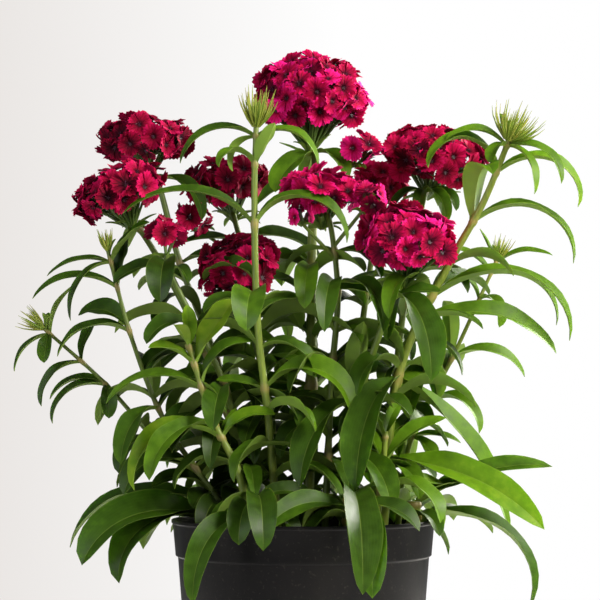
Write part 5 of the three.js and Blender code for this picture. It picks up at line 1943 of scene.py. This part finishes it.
LAMPS = (
    Lamp("key", (900, -620, 900), (0, 0, 290), 560, 31.0, "#fffaf0"),
    Lamp("rim", (760, 620, 620), (20, 0, 290), 560, 26.0, "#fffdf4"),
    Lamp("fill", (-1050, -850, 520), (-20, 0, 260), 700, 9.0, "#f6f7ff"),
)


def aimed(name: str, data: Any, place: Point, aim: Point) -> bpy.types.Object:
    """Puts a camera or light in the scene and turns it to a point.

    Args:
        name: Its name.
        data: Its camera or light data.
        place: Where it is.
        aim: The point that it faces.

    Returns:
        The new object.
    """
    item = bpy.data.objects.new(name, data)
    bpy.context.scene.collection.objects.link(item)
    item.location = Vector(place) * MM
    item.rotation_euler = (Vector(aim) - Vector(place)).to_track_quat("-Z", "Y").to_euler()
    return item


@dataclass(frozen=True)
class Studio:
    """The pale floor, the backdrop and the camera, in millimetres."""

    camera_place: Point = (-2.3, -1300.0, 222.0)
    camera_aim: Point = (-2.3, 0.0, 292.0)
    lens: float = 119.8
    floor: str = "#f1eeec"
    backdrop: str = "#ffffff"
    # shade is painted shade on the backdrop: greyer towards the left, where less light reaches it
    shade: str = "#e9e5e2"
    backdrop_glow: float = 0.22
    floor_glow: float = 0.35
    floor_radius: float = 460.0

    def camera(self) -> None:
        """Adds the camera, level with the lower stems and a long way off."""
        data = bpy.data.cameras.new("camera")
        data.lens = self.lens
        data.clip_start = 0.05
        data.clip_end = 20
        bpy.context.scene.camera = aimed("camera", data, self.camera_place, self.camera_aim)

    @staticmethod
    def light(lamp: Lamp) -> None:
        """Adds a soft square light."""
        data = bpy.data.lights.new(lamp.name, "AREA")
        data.size = lamp.size * MM
        data.energy = lamp.power
        data.color = linear(lamp.tint)[:3]
        aimed(lamp.name, data, lamp.place, lamp.aim)

    def build(self) -> None:
        """Adds the world, the floor and the lights."""
        scene = bpy.context.scene
        scene.view_settings.view_transform = "Standard"
        world = bpy.data.worlds.new("pale_studio")
        scene.world = world
        world.use_nodes = True
        tree = world.node_tree
        tree.nodes.clear()
        # The backdrop seen by the camera greys towards the left: painted shade, where less light falls.
        ray = add_node(tree, "TexCoord").outputs["Generated"]
        sideways = add_node(tree, "SeparateXYZ", {"Vector": ray}).outputs["X"]
        across = remap(tree, sideways, -0.16, 0.02, 0.0, 1.0)
        paper = ramp(tree, across, [(0.0, self.shade), (1.0, self.backdrop)])
        seen = add_node(tree, "Background", {"Color": paper, "Strength": 1.0})
        glow = {"Color": linear(self.backdrop), "Strength": self.backdrop_glow}
        lighting = add_node(tree, "Background", glow)
        path = add_node(tree, "LightPath")
        both = add_node(
            tree, "MixShader",
            {0: path.outputs["Is Camera Ray"], 1: lighting.outputs[0], 2: seen.outputs[0]},
        )
        add_node(tree, "OutputWorld", {"Surface": both.outputs[0]})
        for lamp in LAMPS:
            self.light(lamp)
        bm = bmesh.new()
        bmesh.ops.create_circle(bm, cap_ends=True, segments=96, radius=self.floor_radius * MM)
        floor = bpy.data.objects.new("floor", kept_as_mesh(bm, "floor"))
        scene.collection.objects.link(floor)
        paper = bpy.data.materials.new("pale_paper_floor")
        paper.use_nodes = True
        shader = paper.node_tree.nodes["Principled BSDF"]
        wire(paper.node_tree, shader, Base_Color=linear(self.floor), Roughness=0.9,
             Emission_Color=linear(self.backdrop), Emission_Strength=self.floor_glow)
        floor.data.materials.append(paper)
        LOG.info("the studio is set")


def main() -> None:
    """Sets the studio and grows every piece in order."""
    logging.basicConfig(level=logging.INFO, format="%(name)s: %(message)s")
    studio = Studio()
    studio.camera()
    studio.build()
    shapes = Shapes()
    NurseryPot().build()
    PottingMix(shapes).build()
    for plan in STEMS:
        LeafyStem(plan, shapes).build()
    forms = [FloretForm(shapes, seed) for seed in range(1, 8)]
    for plan in STEMS:
        for head in plan.heads:
            FlowerHead(head, plan.petals, forms).build()


if __name__ == "__main__":
    main()
